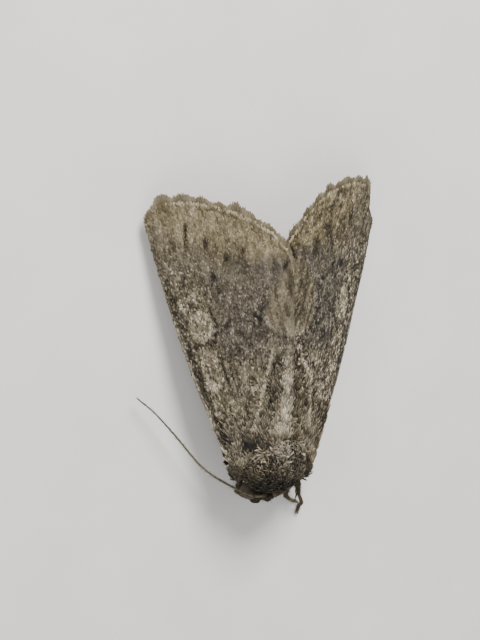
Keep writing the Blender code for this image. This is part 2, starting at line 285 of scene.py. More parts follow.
def sheet_form(top: Array, under: Array) -> Form:
    """Closes two grids of points to a thin sheet.

    Args:
        top: The upper grid, rows by columns by 3.
        under: The lower grid, which matches it point for point.

    Returns:
        The closed sheet.
    """
    rows, columns = top.shape[:2]
    rings = np.concatenate([top, under[:, ::-1]], axis=1)
    near = np.arange(columns - 1)
    far = 2 * columns - 1 - near
    cap = np.concatenate([np.stack([near, far, far - 1], -1), np.stack([near, far - 1, near + 1], -1)])
    end = cap[:, ::-1] + (rows - 1) * 2 * columns
    return Form(rings.reshape(-1, 3), np.vstack([grid_faces(rows, 2 * columns, True), cap, end])).outward()


# ---------------------------------------------------------------- tufts


def lock_cut(halves: Triple, heights: Triple) -> tuple[Array, Array]:
    """Three triangular sections and a tip.

    Args:
        halves: Half width of each section, as a share of a tuft's width.
        heights: Height of each section, as a share of its thickness.

    Returns:
        Corners as shares of width, length and thickness, and faces.
    """
    corners = [(x, y, z) for y, half, high in zip((0.0, 0.4, 0.8), halves, heights)
               for x, z in ((-half, 0.0), (half, 0.0), (0.0, high))]
    faces = [(0, 1, 2)]
    for k in (0, 3):
        for i, j in ((0, 1), (1, 2), (2, 0)):
            faces += [(k + i, k + i + 3, k + j + 3), (k + i, k + j + 3, k + j)]
    faces += [(6, 9, 7), (7, 9, 8), (8, 9, 6)]
    return np.array(corners + [(0.0, 1.0, 0.3 * heights[2])]), np.array(faces)


TUFT_CUTS: dict[TuftKind, tuple[Array, Array]] = {
    SHIELD: (
        np.array([(0, 0, 0), (-0.5, 0.5, 0), (-0.34, 1, 0), (0.34, 1, 0), (0.5, 0.5, 0), (0, 0.55, 1)],
                 float),
        np.array([(0, 1, 2), (0, 2, 3), (0, 3, 4), (1, 0, 5), (2, 1, 5), (3, 2, 5), (4, 3, 5), (0, 4, 5)])),
    LOCK: lock_cut((0.16, 0.4, 0.5), (0.5, 1.0, 0.8)),
    HAIR: lock_cut((0.5, 0.42, 0.25), (0.8, 0.9, 0.5)),
}


@dataclass(frozen=True)
class Cell:
    """A rectangle of the unwrap that one stretch of skin fills."""

    left: float = 0.0
    low: float = 0.0
    wide: float = 1.0
    high: float = 1.0

    def spread(self, along: Array, around: Array) -> Array:
        """Places in the rectangle at two shares, a little inside its edges."""
        return np.stack([self.left + self.wide * np.clip(along, 0.01, 0.99),
                         self.low + self.high * np.clip(around % 1.0, 0.01, 0.99)], -1)


def cells(count: int) -> list[Cell]:
    """This many equal cells that fill the whole unwrap, row by row."""
    rows = max(1, round(math.sqrt(count)))
    split = [len(part) for part in np.array_split(np.arange(count), rows)]
    return [Cell(k / wide, row / rows, 1 / wide, 1 / rows) for row, wide in enumerate(split)
            for k in range(wide)]


@dataclass(frozen=True)
class Coat:
    """How the tufts of one layer are cut and set.

    Attributes:
        kind: The cut of a tuft.
        count: About how many there are.
        size: Length, width and thickness in mm.
        lift: Slope at which a tuft leaves the skin.
        bend: How strongly it curves back towards the skin.
        turn: Spread of its direction, in radians.
        speckle: How much the tone differs from tuft to tuft.
        paling: How much paler a tuft is at its tip than at its root.
    """

    kind: TuftKind
    count: int
    size: Triple
    lift: float = 0.15
    bend: float = 0.08
    turn: float = 0.15
    speckle: float = 0.1
    paling: float = 0.08


def set_tufts(coat: Coat, roots: Array, lie: Array, out: Array, marks: Array, where: Array,
              rng: np.random.Generator, scale: Array | float = 1.0) -> Form:
    """Sets one tuft on each root.

    A point of a tuft lies at its root plus x widths across, y lengths along the lie and, off
    the skin, z thicknesses plus length times (lift y - bend y squared).

    Args:
        coat: The layer's cut and sizes.
        roots: Places on the skin, n by 3.
        lie: Direction of each tuft.
        out: The skin's normal at each root.
        marks: Tone and warmth at each root, n by 2 or more.
        where: Place of each root on the unwrap, n by 2.
        rng: Source of the small differences.
        scale: Share of the layer's size for each tuft.

    Returns:
        All tufts as one form.
    """
    corners, faces = TUFT_CUTS[coat.kind]
    count = len(roots)
    out = unit(out)
    along = unit(lie - out * (lie * out).sum(-1, keepdims=True))
    turn = rng.normal(0, coat.turn, (count, 1))
    along = unit(along * np.cos(turn) + np.cross(out, along) * np.sin(turn))
    across = np.cross(along, out)
    size = rng.uniform(0.75, 1.2, (count, 3)) * np.asarray(coat.size) * np.reshape(scale, (-1, 1))
    length, width, thickness = size.T[..., None]
    x, y, z = corners.T
    lift = coat.lift * rng.uniform(0.5, 1.5, (count, 1))
    rise = thickness * z + length * (lift * y - coat.bend * y**2)
    points = (roots[:, None] + across[:, None] * (width * x)[..., None]
              + along[:, None] * (length * y)[..., None] + out[:, None] * rise[..., None])
    chance = rng.random((count, 1))
    tone = marks[:, :1] + coat.speckle * (chance - 0.5) * 2 + coat.paling * (y - 0.6)
    told = together(tone, marks[:, 1:2], chance)
    patch = np.stack([x, y - 0.5 + 0.15 * z], -1) * PATCH
    unwrap = np.clip(where, PATCH, 1 - PATCH)[:, None] + patch
    index = np.arange(count)[:, None, None] * len(corners) + faces
    return Form(points.reshape(-1, 3), index.reshape(-1, 3), told.reshape(-1, 3), unwrap.reshape(-1, 2))


class Shape(Protocol):
    """A rounded shape: its surface over two shares, and the axis that the surface faces away from."""

    def surface(self, along: Array, around: Array) -> Array:
        """Places on the surface, in mm."""

    def axis(self, places: Array) -> Array:
        """A point inside the shape for each place."""


@dataclass(frozen=True)
class Skin:
    """The skin of a shape, which carries tufts.

    Attributes:
        shape: The shape.
        marks: Gives tone and warmth from places.
        spare: How many roots are tried for each tuft that is wanted.
        step: Difference of shares that gives directions on the skin.
    """

    shape: Shape
    marks: Rule
    spare: float = 2.2
    step: float = 0.004

    def frame(self, along: Array, around: Array) -> tuple[Array, Array, Array]:
        """Measures the skin.

        Args:
            along: Share along the shape.
            around: Share of the way round it.

        Returns:
            Places, directions along the skin and outward normals as long as the area is large.
        """
        place, ahead, over = tangents(self.shape.surface, along, around, self.step)
        out = np.cross(ahead, over)
        sign = np.sign(((place - self.shape.axis(place)) * out).sum(-1, keepdims=True))
        return place, ahead, out * np.where(sign == 0, 1, sign)

    def grow(self, coat: Coat, rng: np.random.Generator, lie: Lie | None = None, cell: Cell = Cell(),
             keep: Rule | None = None, span: tuple[Pair, Pair] = ((0, 1), (0, 1)),
             scale: Rule | None = None) -> Form:
        """Covers the skin evenly with tufts.

        Roots are jittered on a grid of shares, and each is kept with a chance that follows
        the skin's area there, so that the coat is equally dense all over.

        Args:
            coat: The layer.
            rng: Source of jitter and chance.
            lie: Gives directions from places, ahead and out. They run along the skin if None.
            cell: The skin's rectangle of the unwrap.
            keep: Gives a chance from 0 to 1 for places where the coat is thin or absent.
            span: Ranges of the two shares that are covered.
            scale: Gives the share of the layer's size from places.

        Returns:
            The tufts as one form.
        """
        side = math.ceil(math.sqrt(coat.count * self.spare))
        grid = np.meshgrid(np.arange(side), np.arange(side), indexing="ij")
        jitter = rng.random((2, side, side))
        along, around = ((low + (high - low) * (number + moved) / side).ravel()
                         for (low, high), number, moved in zip(span, grid, jitter))
        place, ahead, out = self.frame(along, around)
        area = np.linalg.norm(out, axis=-1)
        chance = area / np.maximum(area.mean(), 1e-12) / self.spare
        if keep is not None:
            chance = chance * keep(place)
        kept = rng.random(len(along)) < chance
        place, ahead, out = place[kept], unit(ahead[kept]), unit(out[kept])
        direction = ahead if lie is None else lie(place, ahead, out)
        return set_tufts(coat, place, direction, out, self.marks(place),
                         cell.spread(along[kept], around[kept]),
                         rng, 1.0 if scale is None else scale(place))


# ---------------------------------------------------------------- finishes


@dataclass
class NodeSketch:
    """A node tree that is filled in with short calls."""

    tree: bpy.types.NodeTree

    def feed(self, node: bpy.types.Node, **inputs: object) -> None:
        """Links or sets sockets of a node.

        Args:
            node: The node.
            **inputs: Sockets by name with underscores for spaces, or by position as _0, _1.
                A socket is linked, and any other value is set.
        """
        for name, value in inputs.items():
            socket = node.inputs[int(name[1:]) if name[0] == "_" else name.replace("_", " ")]
            if isinstance(value, bpy.types.NodeSocket):
                self.tree.links.new(value, socket)
            else:
                socket.default_value = value

    def add(self, kind: str, settings: dict | None = None, **inputs: object) -> bpy.types.Node:
        """Adds a node.

        Args:
            kind: The node's type, without its ShaderNode prefix.
            settings: Properties of the node.
            **inputs: Sockets, as feed takes them.

        Returns:
            The new node.
        """
        node = self.tree.nodes.new("ShaderNode" + kind)
        for name, value in (settings or {}).items():
            setattr(node, name, value)
        self.feed(node, **inputs)
        return node

    def place(self) -> bpy.types.NodeSocket:
        """Object coordinates."""
        return self.add("TexCoord").outputs["Object"]

    def cloud(self, **inputs: object) -> bpy.types.NodeSocket:
        """A noise from 0 to 1."""
        return self.add("TexNoise", **inputs).outputs["Fac"]

    def sum(self, kind: str, first: object, second: object, third: object = 0.0) -> bpy.types.NodeSocket:
        """The output of a Math node of this operation."""
        return self.add("Math", {"operation": kind}, _0=first, _1=second, _2=third).outputs[0]

    def spread(self, value: bpy.types.NodeSocket, low: float, high: float) -> bpy.types.NodeSocket:
        """A value from 0 to 1, carried to low and high."""
        return self.add("MapRange", Value=value, To_Min=low, To_Max=high).outputs[0]

    def bump(self, height: bpy.types.NodeSocket, depth: float, strength: float = 1.0) -> bpy.types.NodeSocket:
        """Normals over a height, with a depth in mm."""
        return self.add("Bump", Strength=strength, Distance=depth * MM, Height=height).outputs[0]

    def ramp(self, value: bpy.types.NodeSocket,
             stops: Sequence[tuple[float, Triple]]) -> bpy.types.NodeSocket:
        """Adds a colour ramp.

        Args:
            value: The value that it reads.
            stops: Places with linear colours.

        Returns:
            The colour.
        """
        node = self.add("ValToRGB", Fac=value)
        points = node.color_ramp.elements
        while len(points) < len(stops):
            points.new(0.5)
        for point, (place, colour) in zip(points, stops):
            point.position, point.color = place, (*colour, 1.0)
        return node.outputs["Color"]


def linear(tone: float, red: float, blue: float) -> Triple:
    """A linear colour for a perceived tone, with red above it and blue below it by these amounts."""
    return tuple(max(0.0, level) ** 2.2 for level in (tone + red, tone, tone - blue))


def open_group(name: str, inputs: dict[str, tuple[str, object]], outputs: dict[str, str]) -> NodeSketch:
    """A new shader node group with named sockets.

    Args:
        name: The group's name.
        inputs: Socket type and starting value by name.
        outputs: Socket type by name.

    Returns:
        A sketch on the group's tree.
    """
    tree = bpy.data.node_groups.new(name, "ShaderNodeTree")
    for label, (kind, start) in inputs.items():
        socket = tree.interface.new_socket(label, in_out="INPUT", socket_type="NodeSocket" + kind)
        if start is not None:
            socket.default_value = start
    for label, kind in outputs.items():
        tree.interface.new_socket(label, in_out="OUTPUT", socket_type="NodeSocket" + kind)
    return NodeSketch(tree)


def build_dust_group() -> bpy.types.NodeTree:
    """The colour of scales and skin from their marks.

    Fine noise is added to the tone. The tone then picks a colour from a grey and from a brown
    row of colours, and the warmth blends the two. Chance sets the roughness.

    Returns:
        The group's tree.
    """
    sketch = open_group(
        "owlet dust",
        {"Marks": ("Vector", None), "Place": ("Vector", None), "Grain": ("Float", 0.1),
         "Fineness": ("Float", 9000.0)},
        {"Colour": "Color", "Roughness": "Float", "Relief": "Float"})
    given = sketch.tree.nodes.new("NodeGroupInput").outputs
    result = sketch.tree.nodes.new("NodeGroupOutput")
    tone, warmth, chance = sketch.add("SeparateXYZ", Vector=given["Marks"]).outputs
    fine = sketch.cloud(Vector=given["Place"], Scale=given["Fineness"], Detail=3.0, Roughness=0.6)
    seen = sketch.sum("MULTIPLY_ADD", sketch.sum("SUBTRACT", fine, 0.5), given["Grain"], tone)
    grey, brown = (
        sketch.ramp(seen, [(t, linear(t * GAIN, red * t**0.3, blue * t**0.3)) for t in RAMP_TONES])
        for red, blue in ((0.037, 0.062), (0.054, 0.125)))
    blend = sketch.add("Mix", {"data_type": "RGBA"}, Factor=warmth, _6=grey, _7=brown)
    sketch.feed(result, Colour=blend.outputs[2], Roughness=sketch.spread(chance, 0.62, 0.85), Relief=fine)
    return sketch.tree


def new_material(name: str) -> tuple[bpy.types.Material, NodeSketch, bpy.types.Node]:
    """Starts a material.

    Args:
        name: The material's name.

    Returns:
        The material, a sketch on its tree and its Principled shader.
    """
    material = bpy.data.materials.new(name)
    material.use_nodes = True
    return material, NodeSketch(material.node_tree), material.node_tree.nodes["Principled BSDF"]


@dataclass(frozen=True)
class DustFinish:
    """A surface that takes its colour from its marks, as scales and scaled skin do."""

    name: str
    grain: float = 0.06
    fineness: float = 12000.0
    depth: float = 0.004
    sheen: float = 0.05
    specular: float = 0.25

    def build(self, dust: bpy.types.NodeTree) -> bpy.types.Material:
        """Makes the material round the shared group.

        Args:
            dust: The group that gives colour, roughness and relief.

        Returns:
            The material.
        """
        material, sketch, shader = new_material(self.name)
        marks = sketch.add("Attribute", {"attribute_name": "marks"}).outputs["Vector"]
        given = sketch.add("Group", {"node_tree": dust}, Marks=marks, Place=sketch.place(), Grain=self.grain,
                           Fineness=self.fineness).outputs
        sketch.feed(shader, Base_Color=given["Colour"], Roughness=given["Roughness"],
                    Normal=sketch.bump(given["Relief"], self.depth), Sheen_Weight=self.sheen,
                    Sheen_Roughness=0.6,
                    Specular_IOR_Level=self.specular)
        return material


@dataclass(frozen=True)
class HornFinish:
    """Bare horn, as on claws, spurs and the tongue: glossy, with painted shade darkening the hollows of its
    relief.
    """

    name: str
    dark: Triple
    light: Triple
    roughness: float = 0.3

    def build(self) -> bpy.types.Material:
        """The material: two browns in clouds, with a fine grain."""
        material, sketch, shader = new_material(self.name)
        cloud = sketch.cloud(Vector=sketch.place(), Scale=4000.0, Detail=4.0)
        # painted shade: the cloud is both colour and bump height, so the low hollows are painted darker
        sketch.feed(shader, Base_Color=sketch.ramp(cloud, [(0.35, self.dark), (0.7, self.light)]),
                    Roughness=sketch.spread(cloud, self.roughness, self.roughness + 0.2),
                    Normal=sketch.bump(cloud, 0.003))
        return material


@dataclass(frozen=True)
class EyeFinish:
    """A compound eye: dark facets in a fine net under a clear gloss."""

    name: str
    facet: float = 0.034
    deep: Triple = (0.010, 0.006, 0.004)
    net: Triple = (0.050, 0.034, 0.020)

    def build(self) -> bpy.types.Material:
        """The material: cells set the net's colour and dome each facet, clouds vary the depth."""
        material, sketch, shader = new_material(self.name)
        place = sketch.place()
        gap = sketch.add("TexVoronoi", Vector=place, Scale=1 / (self.facet * MM),
                         Randomness=0.25).outputs["Distance"]
        cloud = sketch.cloud(Vector=place, Scale=2500.0, Detail=2.0)
        level = sketch.sum("MULTIPLY_ADD", cloud, 0.5, gap)
        dome = sketch.sum("SUBTRACT", 1.0, gap)
        sketch.feed(shader, Base_Color=sketch.ramp(level, [(0.35, self.deep), (0.95, self.net)]),
                    Roughness=sketch.spread(cloud, 0.35, 0.50), Normal=sketch.bump(dome, 0.006, 0.7),
                    Specular_IOR_Level=0.22, Coat_Weight=0.05, Coat_Roughness=0.2)
        return material


class Finishes:
    """All materials of the moth, built once."""

    def __init__(self) -> None:
        """Builds the shared group, then each material."""
        dust = build_dust_group()
        self.scales = DustFinish("wing scales").build(dust)
        self.hairs = DustFinish("body scales", grain=0.08, fineness=9000.0).build(dust)
        skin = DustFinish("skin", grain=0.10, fineness=5000.0, depth=0.02, sheen=0.0, specular=0.3)
        membrane = DustFinish("wing membrane", grain=0.08, fineness=6000.0, depth=0.01, sheen=0.0)
        self.skin, self.membrane = skin.build(dust), membrane.build(dust)
        self.horn = HornFinish("claw horn", (0.012, 0.006, 0.003), (0.10, 0.05, 0.02)).build()
        self.tongue = HornFinish("tongue horn", (0.03, 0.013, 0.005), (0.16, 0.08, 0.03), 0.25).build()
        self.eye = EyeFinish("compound eye").build()


# ---------------------------------------------------------------- placing


def put(name: str, data: bpy.types.ID) -> bpy.types.Object:
    """A new object at the origin, linked to the scene."""
    thing = bpy.data.objects.new(name, data)
    bpy.context.scene.collection.objects.link(thing)
    return thing


@dataclass
class Workshop:
    """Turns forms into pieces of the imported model."""

    finishes: Finishes
    shift: Array

    def add(self, name: str, form: Form, material: bpy.types.Material, slot: str,
            replaces: Sequence[str] = (),
            smooth: bool = True) -> None:
        """Makes a form a piece, with its marks and its unwrap.

        Args:
            name: The piece's name.
            form: Its shape in mm.
            material: Its finish.
            slot: A material slot name; it is not used.
            replaces: CAD nodes that it stands for.
            smooth: Whether faces are shaded as one curved surface.
        """
        mesh = bpy.data.meshes.new(name)
        mesh.vertices.add(len(form.points))
        mesh.vertices.foreach_set("co", ((form.points + self.shift) * MM).astype(np.float32).ravel())
        mesh.loops.add(form.faces.size)
        mesh.loops.foreach_set("vertex_index", form.faces.astype(np.int32).ravel())
        mesh.polygons.add(len(form.faces))
        mesh.polygons.foreach_set("loop_start", np.arange(0, form.faces.size, 3, dtype=np.int32))
        mesh.polygons.foreach_set("use_smooth", np.full(len(form.faces), smooth))
        if form.marks is not None:
            marks = mesh.attributes.new("marks", "FLOAT_VECTOR", "POINT")
            marks.data.foreach_set("vector", form.marks.astype(np.float32).ravel())
        if form.unwrap is not None:
            layer = mesh.uv_layers.new(name="OFBake")
            layer.data.foreach_set("uv", form.unwrap[form.faces.ravel()].astype(np.float32).ravel())
        mesh.materials.append(material)
        mesh.update(calc_edges=True)
        mesh.validate()
        piece = put(name, mesh)
        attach(piece, "root")
        if replaces:
            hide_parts(*replaces)
        log.info("%s: %d triangles", name, len(form.faces))


# ---------------------------------------------------------------- wing markings


@dataclass(frozen=True)
class Mark:
    """An oval mark on the flat wing, in mm, turned by an angle from the wing's length."""

    u: float
    v: float
    length: float
    width: float
    turn: float = 0.0

    def reach(self, flat: Array) -> Array:
        """Distance of flat places from the middle, which is 1 on the oval's edge."""
        u, v = flat[..., 0] - self.u, flat[..., 1] - self.v
        c, s = math.cos(self.turn), math.sin(self.turn)
        return np.hypot((c * u + s * v) / self.length, (c * v - s * u) / self.width)

    def shade(self, flat: Array, spread: float = 0.65) -> Array:
        """1 in the middle, falling off as a bell curve."""
        return bell(self.reach(flat), 0, spread)


Cloud = tuple[Mark, float]  # a soft patch, and how much it adds to the tone

SHARED_CLOUDS: tuple[Cloud, ...] = (
    (Mark(14.2, 1.4, 1.4, 1.2), 0.06), (Mark(8.75, 1.75, 0.5, 0.35, 0.6), -0.11),
    (Mark(8.65, 0.5, 0.28, 0.4), -0.10),
    (Mark(7.85, 1.88, 0.3, 0.10, -0.2), 0.14), (Mark(5.2, 2.05, 0.55, 0.14, 0.45), 0.09),
    (Mark(3.4, 1.5, 1.2, 0.12, 0.35), 0.06),
)
CLUB = Mark(5.6, 3.42, 0.55, 0.42, 0.4)  # the club mark behind the oval one
# the broken line in the middle
CURVE = ((9.15, 1.9), (9.4, 2.8), (10.0, 3.5), (10.3, 4.2), (9.9, 4.85), (9.15, 5.15))
TIP_LINE = ((16.5, 0.2), (16.6, 1.3))  # the short pale line at the tip


@dataclass(frozen=True)
class SideMarks:
    """The markings that differ from wing to wing, in flat wing millimetres.

    Attributes:
        kidney: The kidney mark.
        oval: The oval mark nearer the body.
        wedges: Dark streaks and spots.
        lobe: The front border of the smooth lobe on the hind edge.
        vein: The pale vein in the inner half.
        seam: Distance of the pale band from the hind edge.
        clouds: Soft patches.
        shade: How much darker the whole wing is.
        warm: How much browner it is.
        bold: How strongly the kidney and oval marks are drawn.
        coarse: How strong the speckle is.
        streaks: How much the outer field is streaked besides.
        front_dim: How much of the outer field is gone next to the front edge.
    """

    kidney: Mark
    oval: Mark
    wedges: tuple[Mark, ...]
    lobe: tuple[Pair, ...]
    vein: tuple[Pair, ...]
    seam: float
    clouds: tuple[Cloud, ...]
    shade: float
    warm: float = 0.0
    bold: float = 1.0
    coarse: float = 1.0
    streaks: float = 0.0
    front_dim: float = 0.0


SIDE_MARKS = {
    Side.RIGHT: SideMarks(
        kidney=Mark(9.95, 1.32, 1.06, 0.80, 0.05),
        oval=Mark(6.95, 1.08, 1.35, 0.66, 0.06),
        wedges=(Mark(15.5, 2.02, 1.15, 0.13, 0.27), Mark(16.15, 2.2, 0.4, 0.17, 0.2),
                Mark(15.1, 3.2, 0.55, 0.17, 0.2),
                Mark(13.75, 4.1, 0.42, 0.20, 0.5), Mark(14.0, 5.4, 0.38, 0.26, 0.3),
                Mark(12.8, 3.05, 0.35, 0.2, 0.2),
                Mark(9.5, 5.05, 0.5, 0.12, -0.3), Mark(12.25, 7.65, 0.34, 0.15, 0.75)),
        lobe=((7.3, 7.5), (7.6, 6.6), (8.1, 6.05), (8.7, 5.65), (9.4, 5.45), (10.2, 5.75), (10.9, 6.3),
              (11.6, 7.1),
              (12.4, 8.2)),
        vein=((2.2, 2.5), (3.35, 3.1), (5.5, 4.3), (7.2, 5.25)),
        seam=0.42,
        clouds=((Mark(12.9, 5.3, 1.0, 0.8), -0.11), (Mark(14.1, 5.9, 0.7, 0.6), -0.09),
                (Mark(15.9, 3.8, 0.8, 0.6), 0.08), (Mark(2.5, 1.1, 1.0, 0.7), 0.15),
                (Mark(2.1, 4.2, 1.4, 1.0), 0.20),
                (Mark(1.25, 1.85, 0.9, 0.7), -0.30), (Mark(9.0, 5.4, 0.7, 0.5), 0.15),
                (Mark(8.0, 6.5, 0.9, 0.6), -0.08), (Mark(11.2, 7.3, 0.7, 0.6), -0.08),
                (Mark(6.2, 4.5, 0.9, 0.6), -0.08), (Mark(12.1, 3.2, 0.8, 1.0), -0.05),
                (Mark(6.7, 1.92, 1.2, 0.16, 0.12), -0.15), (Mark(11.9, 5.55, 1.1, 0.45, 0.45), -0.07)),
        shade=0.012),
    Side.LEFT: SideMarks(
        kidney=Mark(10.25, 1.60, 1.10, 0.84, 0.05),
        oval=Mark(7.05, 1.20, 1.30, 0.62, 0.06),
        wedges=(Mark(15.9, 3.0, 0.8, 0.27, 0.25), Mark(14.1, 4.75, 0.42, 0.19, 0.2),
                Mark(14.3, 4.1, 0.4, 0.15, 0.2),
                Mark(12.5, 3.8, 0.35, 0.18, 0.2), Mark(12.75, 2.9, 0.3, 0.4, 0.2),
                Mark(12.3, 7.6, 0.6, 0.13, 0.6)),
        lobe=((7.2, 6.6), (7.4, 5.6), (8.0, 4.85), (8.7, 4.6), (9.8, 4.65), (10.7, 5.1), (11.3, 5.7),
              (11.9, 6.5),
              (12.6, 7.7)),
        vein=((1.4, 1.75), (3.6, 2.7), (5.7, 3.65), (5.3, 3.8), (5.9, 4.5), (7.1, 5.65)),
        seam=0.0,
        clouds=((Mark(14.6, 5.4, 2.0, 0.7, -0.43), -0.21), (Mark(13.2, 5.9, 0.9, 0.7), -0.18),
                (Mark(16.2, 2.4, 1.2, 0.9), -0.08), (Mark(9.6, 5.6, 0.9, 0.7), 0.17),
                (Mark(1.5, 2.5, 1.0, 0.9), 0.18),
                (Mark(7.2, 4.9, 0.6, 0.6), -0.07), (Mark(10.9, 6.1, 0.6, 0.6), -0.06),
                (Mark(5.1, 1.8, 0.8, 0.7), -0.08),
                (Mark(11.9, 4.95, 1.1, 0.45, 0.45), -0.07)),
        shade=0.06, warm=0.12, bold=1.5, coarse=1.55, streaks=0.05, front_dim=0.7),
}

HIND_ROOT, TORNUS = (1.2, 4.4), (12.7, 8.75)  # ends of the forewing's straight hind edge, in flat wing mm


def front_edge(u: Array) -> Array:
    """The forewing's front edge: its place across the wing in mm at u."""
    share = np.clip((u + 0.6) / 19.4, 0, 1)
    return 0.30 - 0.65 * share - 0.42 * np.sin(np.pi * share)


def hind_edge(u: Array) -> Array:
    """The forewing's hind edge: its place across the wing in mm at u."""
    return HIND_ROOT[1] + (u - HIND_ROOT[0]) * (TORNUS[1] - HIND_ROOT[1]) / (TORNUS[0] - HIND_ROOT[0])


def fan(across: Array) -> Array:
    """Place in the fan of veins, with a vein at every whole number."""
    return 9 * across + 0.25


def veins(across: Array) -> Array:
    """1 on each vein and -1 halfway between two, as a cosine over the fan."""
    return np.cos(2 * np.pi * fan(across))


def strands(flat: Array, stretch: float, cell: float, seed: int) -> Array:
    """Noise drawn out along the wing by this factor."""
    return noise(flat / (stretch, 1.0), cell, seed)


def near_line(flat: Array, points: Sequence[Pair], width: float) -> Array:
    """Draws a chain of straight stretches.

    Args:
        flat: Flat places, n by 2.
        points: The chain's points.
        width: Width of the bell curve across it.

    Returns:
        1 on the chain, falling off on both sides.
    """
    nearest = np.full(flat.shape[:-1], 1e9)
    chain = np.array(points)
    for start, end in zip(chain, chain[1:]):
        step = end - start
        share = np.clip(((flat - start) @ step) / (step @ step), 0, 1)
        nearest = np.minimum(nearest, np.linalg.norm(flat - start - share[..., None] * step, axis=-1))
    return bell(nearest, 0, width)


@dataclass(frozen=True)
class ForewingPattern:
    """The markings of a forewing's upper side, at given places.

    A tone is how light a place looks, from 0 to 1. Warmth goes from grey to brown. Fields go
    from 0 to 1, and lines are given as what they add to the tone.

    Attributes:
        own: The side's own markings.
        flat: Flat places in mm, n by 2.
        margin: Distance from the outer edge in mm.
        across: Share of the way from the front edge to the hind edge in the fan of veins.
    """

    own: SideMarks
    flat: Array
    margin: Array
    across: Array

    @property
    def u(self) -> Array:
        """Place along the wing."""
        return self.flat[..., 0]

    @property
    def v(self) -> Array:
        """Place across the wing."""
        return self.flat[..., 1]

    @cached_property
    def wobble(self) -> Array:
        """A waver that frays borders."""
        return noise(self.flat, 0.7, 1) * 0.28 + noise(self.flat, 0.3, 2) * 0.12

    @cached_property
    def streak(self) -> Array:
        """Streaks of the outer field and the lobe."""
        return strands(self.flat, 5, 0.16, 5) + 0.6 * strands(self.flat, 3, 0.35, 6)

    @cached_property
    def strand(self) -> Array:
        """Streaks of the inner half."""
        return strands(self.flat, 5, 0.22, 22) + 0.5 * strands(self.flat, 2.5, 0.12, 23)

    @cached_property
    def outer_gap(self) -> Array:
        """Distance beyond the inner border of the outer field, in mm."""
        border = (-0.5, 0.7, 2, 3, 4, 5.2, 6.4, 7.5), (16.9, 16.6, 15.7, 15.0, 14.3, 13.7, 13.2, 12.6)
        return self.u - np.interp(self.v, *border)

    @cached_property
    def lobe_gap(self) -> Array:
        """Distance behind the front border of the lobe, in mm."""
        return self.v - np.interp(self.u, *np.array(self.own.lobe).T)

    @cached_property
    def lobe(self) -> Array:
        """The smooth lobe on the hind edge."""
        first, last = self.own.lobe[0][0], self.own.lobe[-1][0]
        inside = smoothstep(-0.12, 0.25, self.lobe_gap + 0.25 * self.wobble)
        return (inside * smoothstep(first - 0.1, first + 0.2, self.u)
                * smoothstep(last + 0.3, last - 0.8, self.u))

    @cached_property
    def outer(self) -> Array:
        """The warm outer field."""
        near_front = self.own.front_dim * smoothstep(3.4, 2.0, self.v)
        return smoothstep(-1.1, 0.8, self.outer_gap + 1.8 * self.wobble) * (1 - near_front)

    @cached_property
    def middle(self) -> Array:
        """The dim grey middle."""
        return (smoothstep(6.0, 8.2, self.u) * smoothstep(14.2, 12.4, self.u) * smoothstep(1.6, 2.8, self.v)
                * (1 - self.lobe))

    def ground(self) -> Array:
        """The tone under all lines: noise, faint veins, the three fields, their streaks and the clouds."""
        flat, u, open_field = self.flat, self.u, self.outer * (1 - self.lobe)
        tone = 0.405 - self.own.shade + 0.035 * noise(flat, 2.2, 7) + 0.04 * noise(flat, 0.9, 8)
        tone += 0.02 * veins(self.across) * smoothstep(6, 13, u) + 0.105 * open_field
        tone -= 0.05 * self.middle * (1 - 0.5 * bell(u, 11.4, 0.9))
        tone += (0.07 * open_field + 0.15 * self.lobe + self.own.streaks * self.outer) * self.streak
        tone += 0.07 * self.strand * smoothstep(9.5, 6.5, u)
        return tone + sum(depth * cloud.shade(flat) for cloud, depth in SHARED_CLOUDS + self.own.clouds)

    def warmth(self) -> Array:
        """The warmth, from grey in the middle to brown in the outer field."""
        ground = 0.36 + 0.15 * noise(self.flat, 1.4, 9) - 0.36 * self.middle
        blend = (0.78 - ground) * self.outer * (1 - self.lobe) + (0.42 - ground) * self.lobe
        return np.clip(ground + blend + self.own.warm, 0, 1)

    def speckle(self) -> Array:
        """How much single scales differ: less in the middle, the outer field and the lobe."""
        level = (0.25 - 0.05 * self.middle - 0.09 * smoothstep(12.5, 15.5, self.u + 0.35 * self.v)
                 - 0.13 * self.lobe)
        return self.own.coarse * (level + 0.05 * smoothstep(3.0, 0.8, self.v) * smoothstep(16, 14, self.u))

    def lobe_lines(self) -> Array:
        """The lobe's pale rim, its streaks and the dark line in front of it."""
        u, gap, border = self.u, self.lobe_gap, self.own.lobe
        rim = 0.17 * near_line(self.flat, border, 0.13) * smoothstep(10.8, 8.8, u)
        front = 0.09 * near_line(self.flat + (0, 0.3), border, 0.13) * smoothstep(11.2, 10.0, u)
        pale = 0.09 * bell(gap, 0.45, 0.28) * smoothstep(11, 9, u)
        return rim - front + (pale - 0.10 * bell(gap, 1.3, 0.22) * bell(u, 10.0, 1.0)) * self.lobe

    def front_lines(self) -> Array:
        """A thin pale rim along the front edge, with a dark band behind it."""
        u, gap = self.u, self.v - front_edge(self.u)
        band = 0.18 * bell(gap, 0.44, 0.22) * smoothstep(14.5, 11.5, u) * smoothstep(0.5, 2.0, u)
        base = 0.03 * smoothstep(3.5, 0.5, u) * smoothstep(1.6, 0.4, self.v)
        rim = ((0.10 + 0.16 * smoothstep(12, 9, u)) * bell(gap, 0.07, 0.11)
               * (0.8 + 0.6 * noise(self.flat, 0.35, 13)))
        return rim - band - base

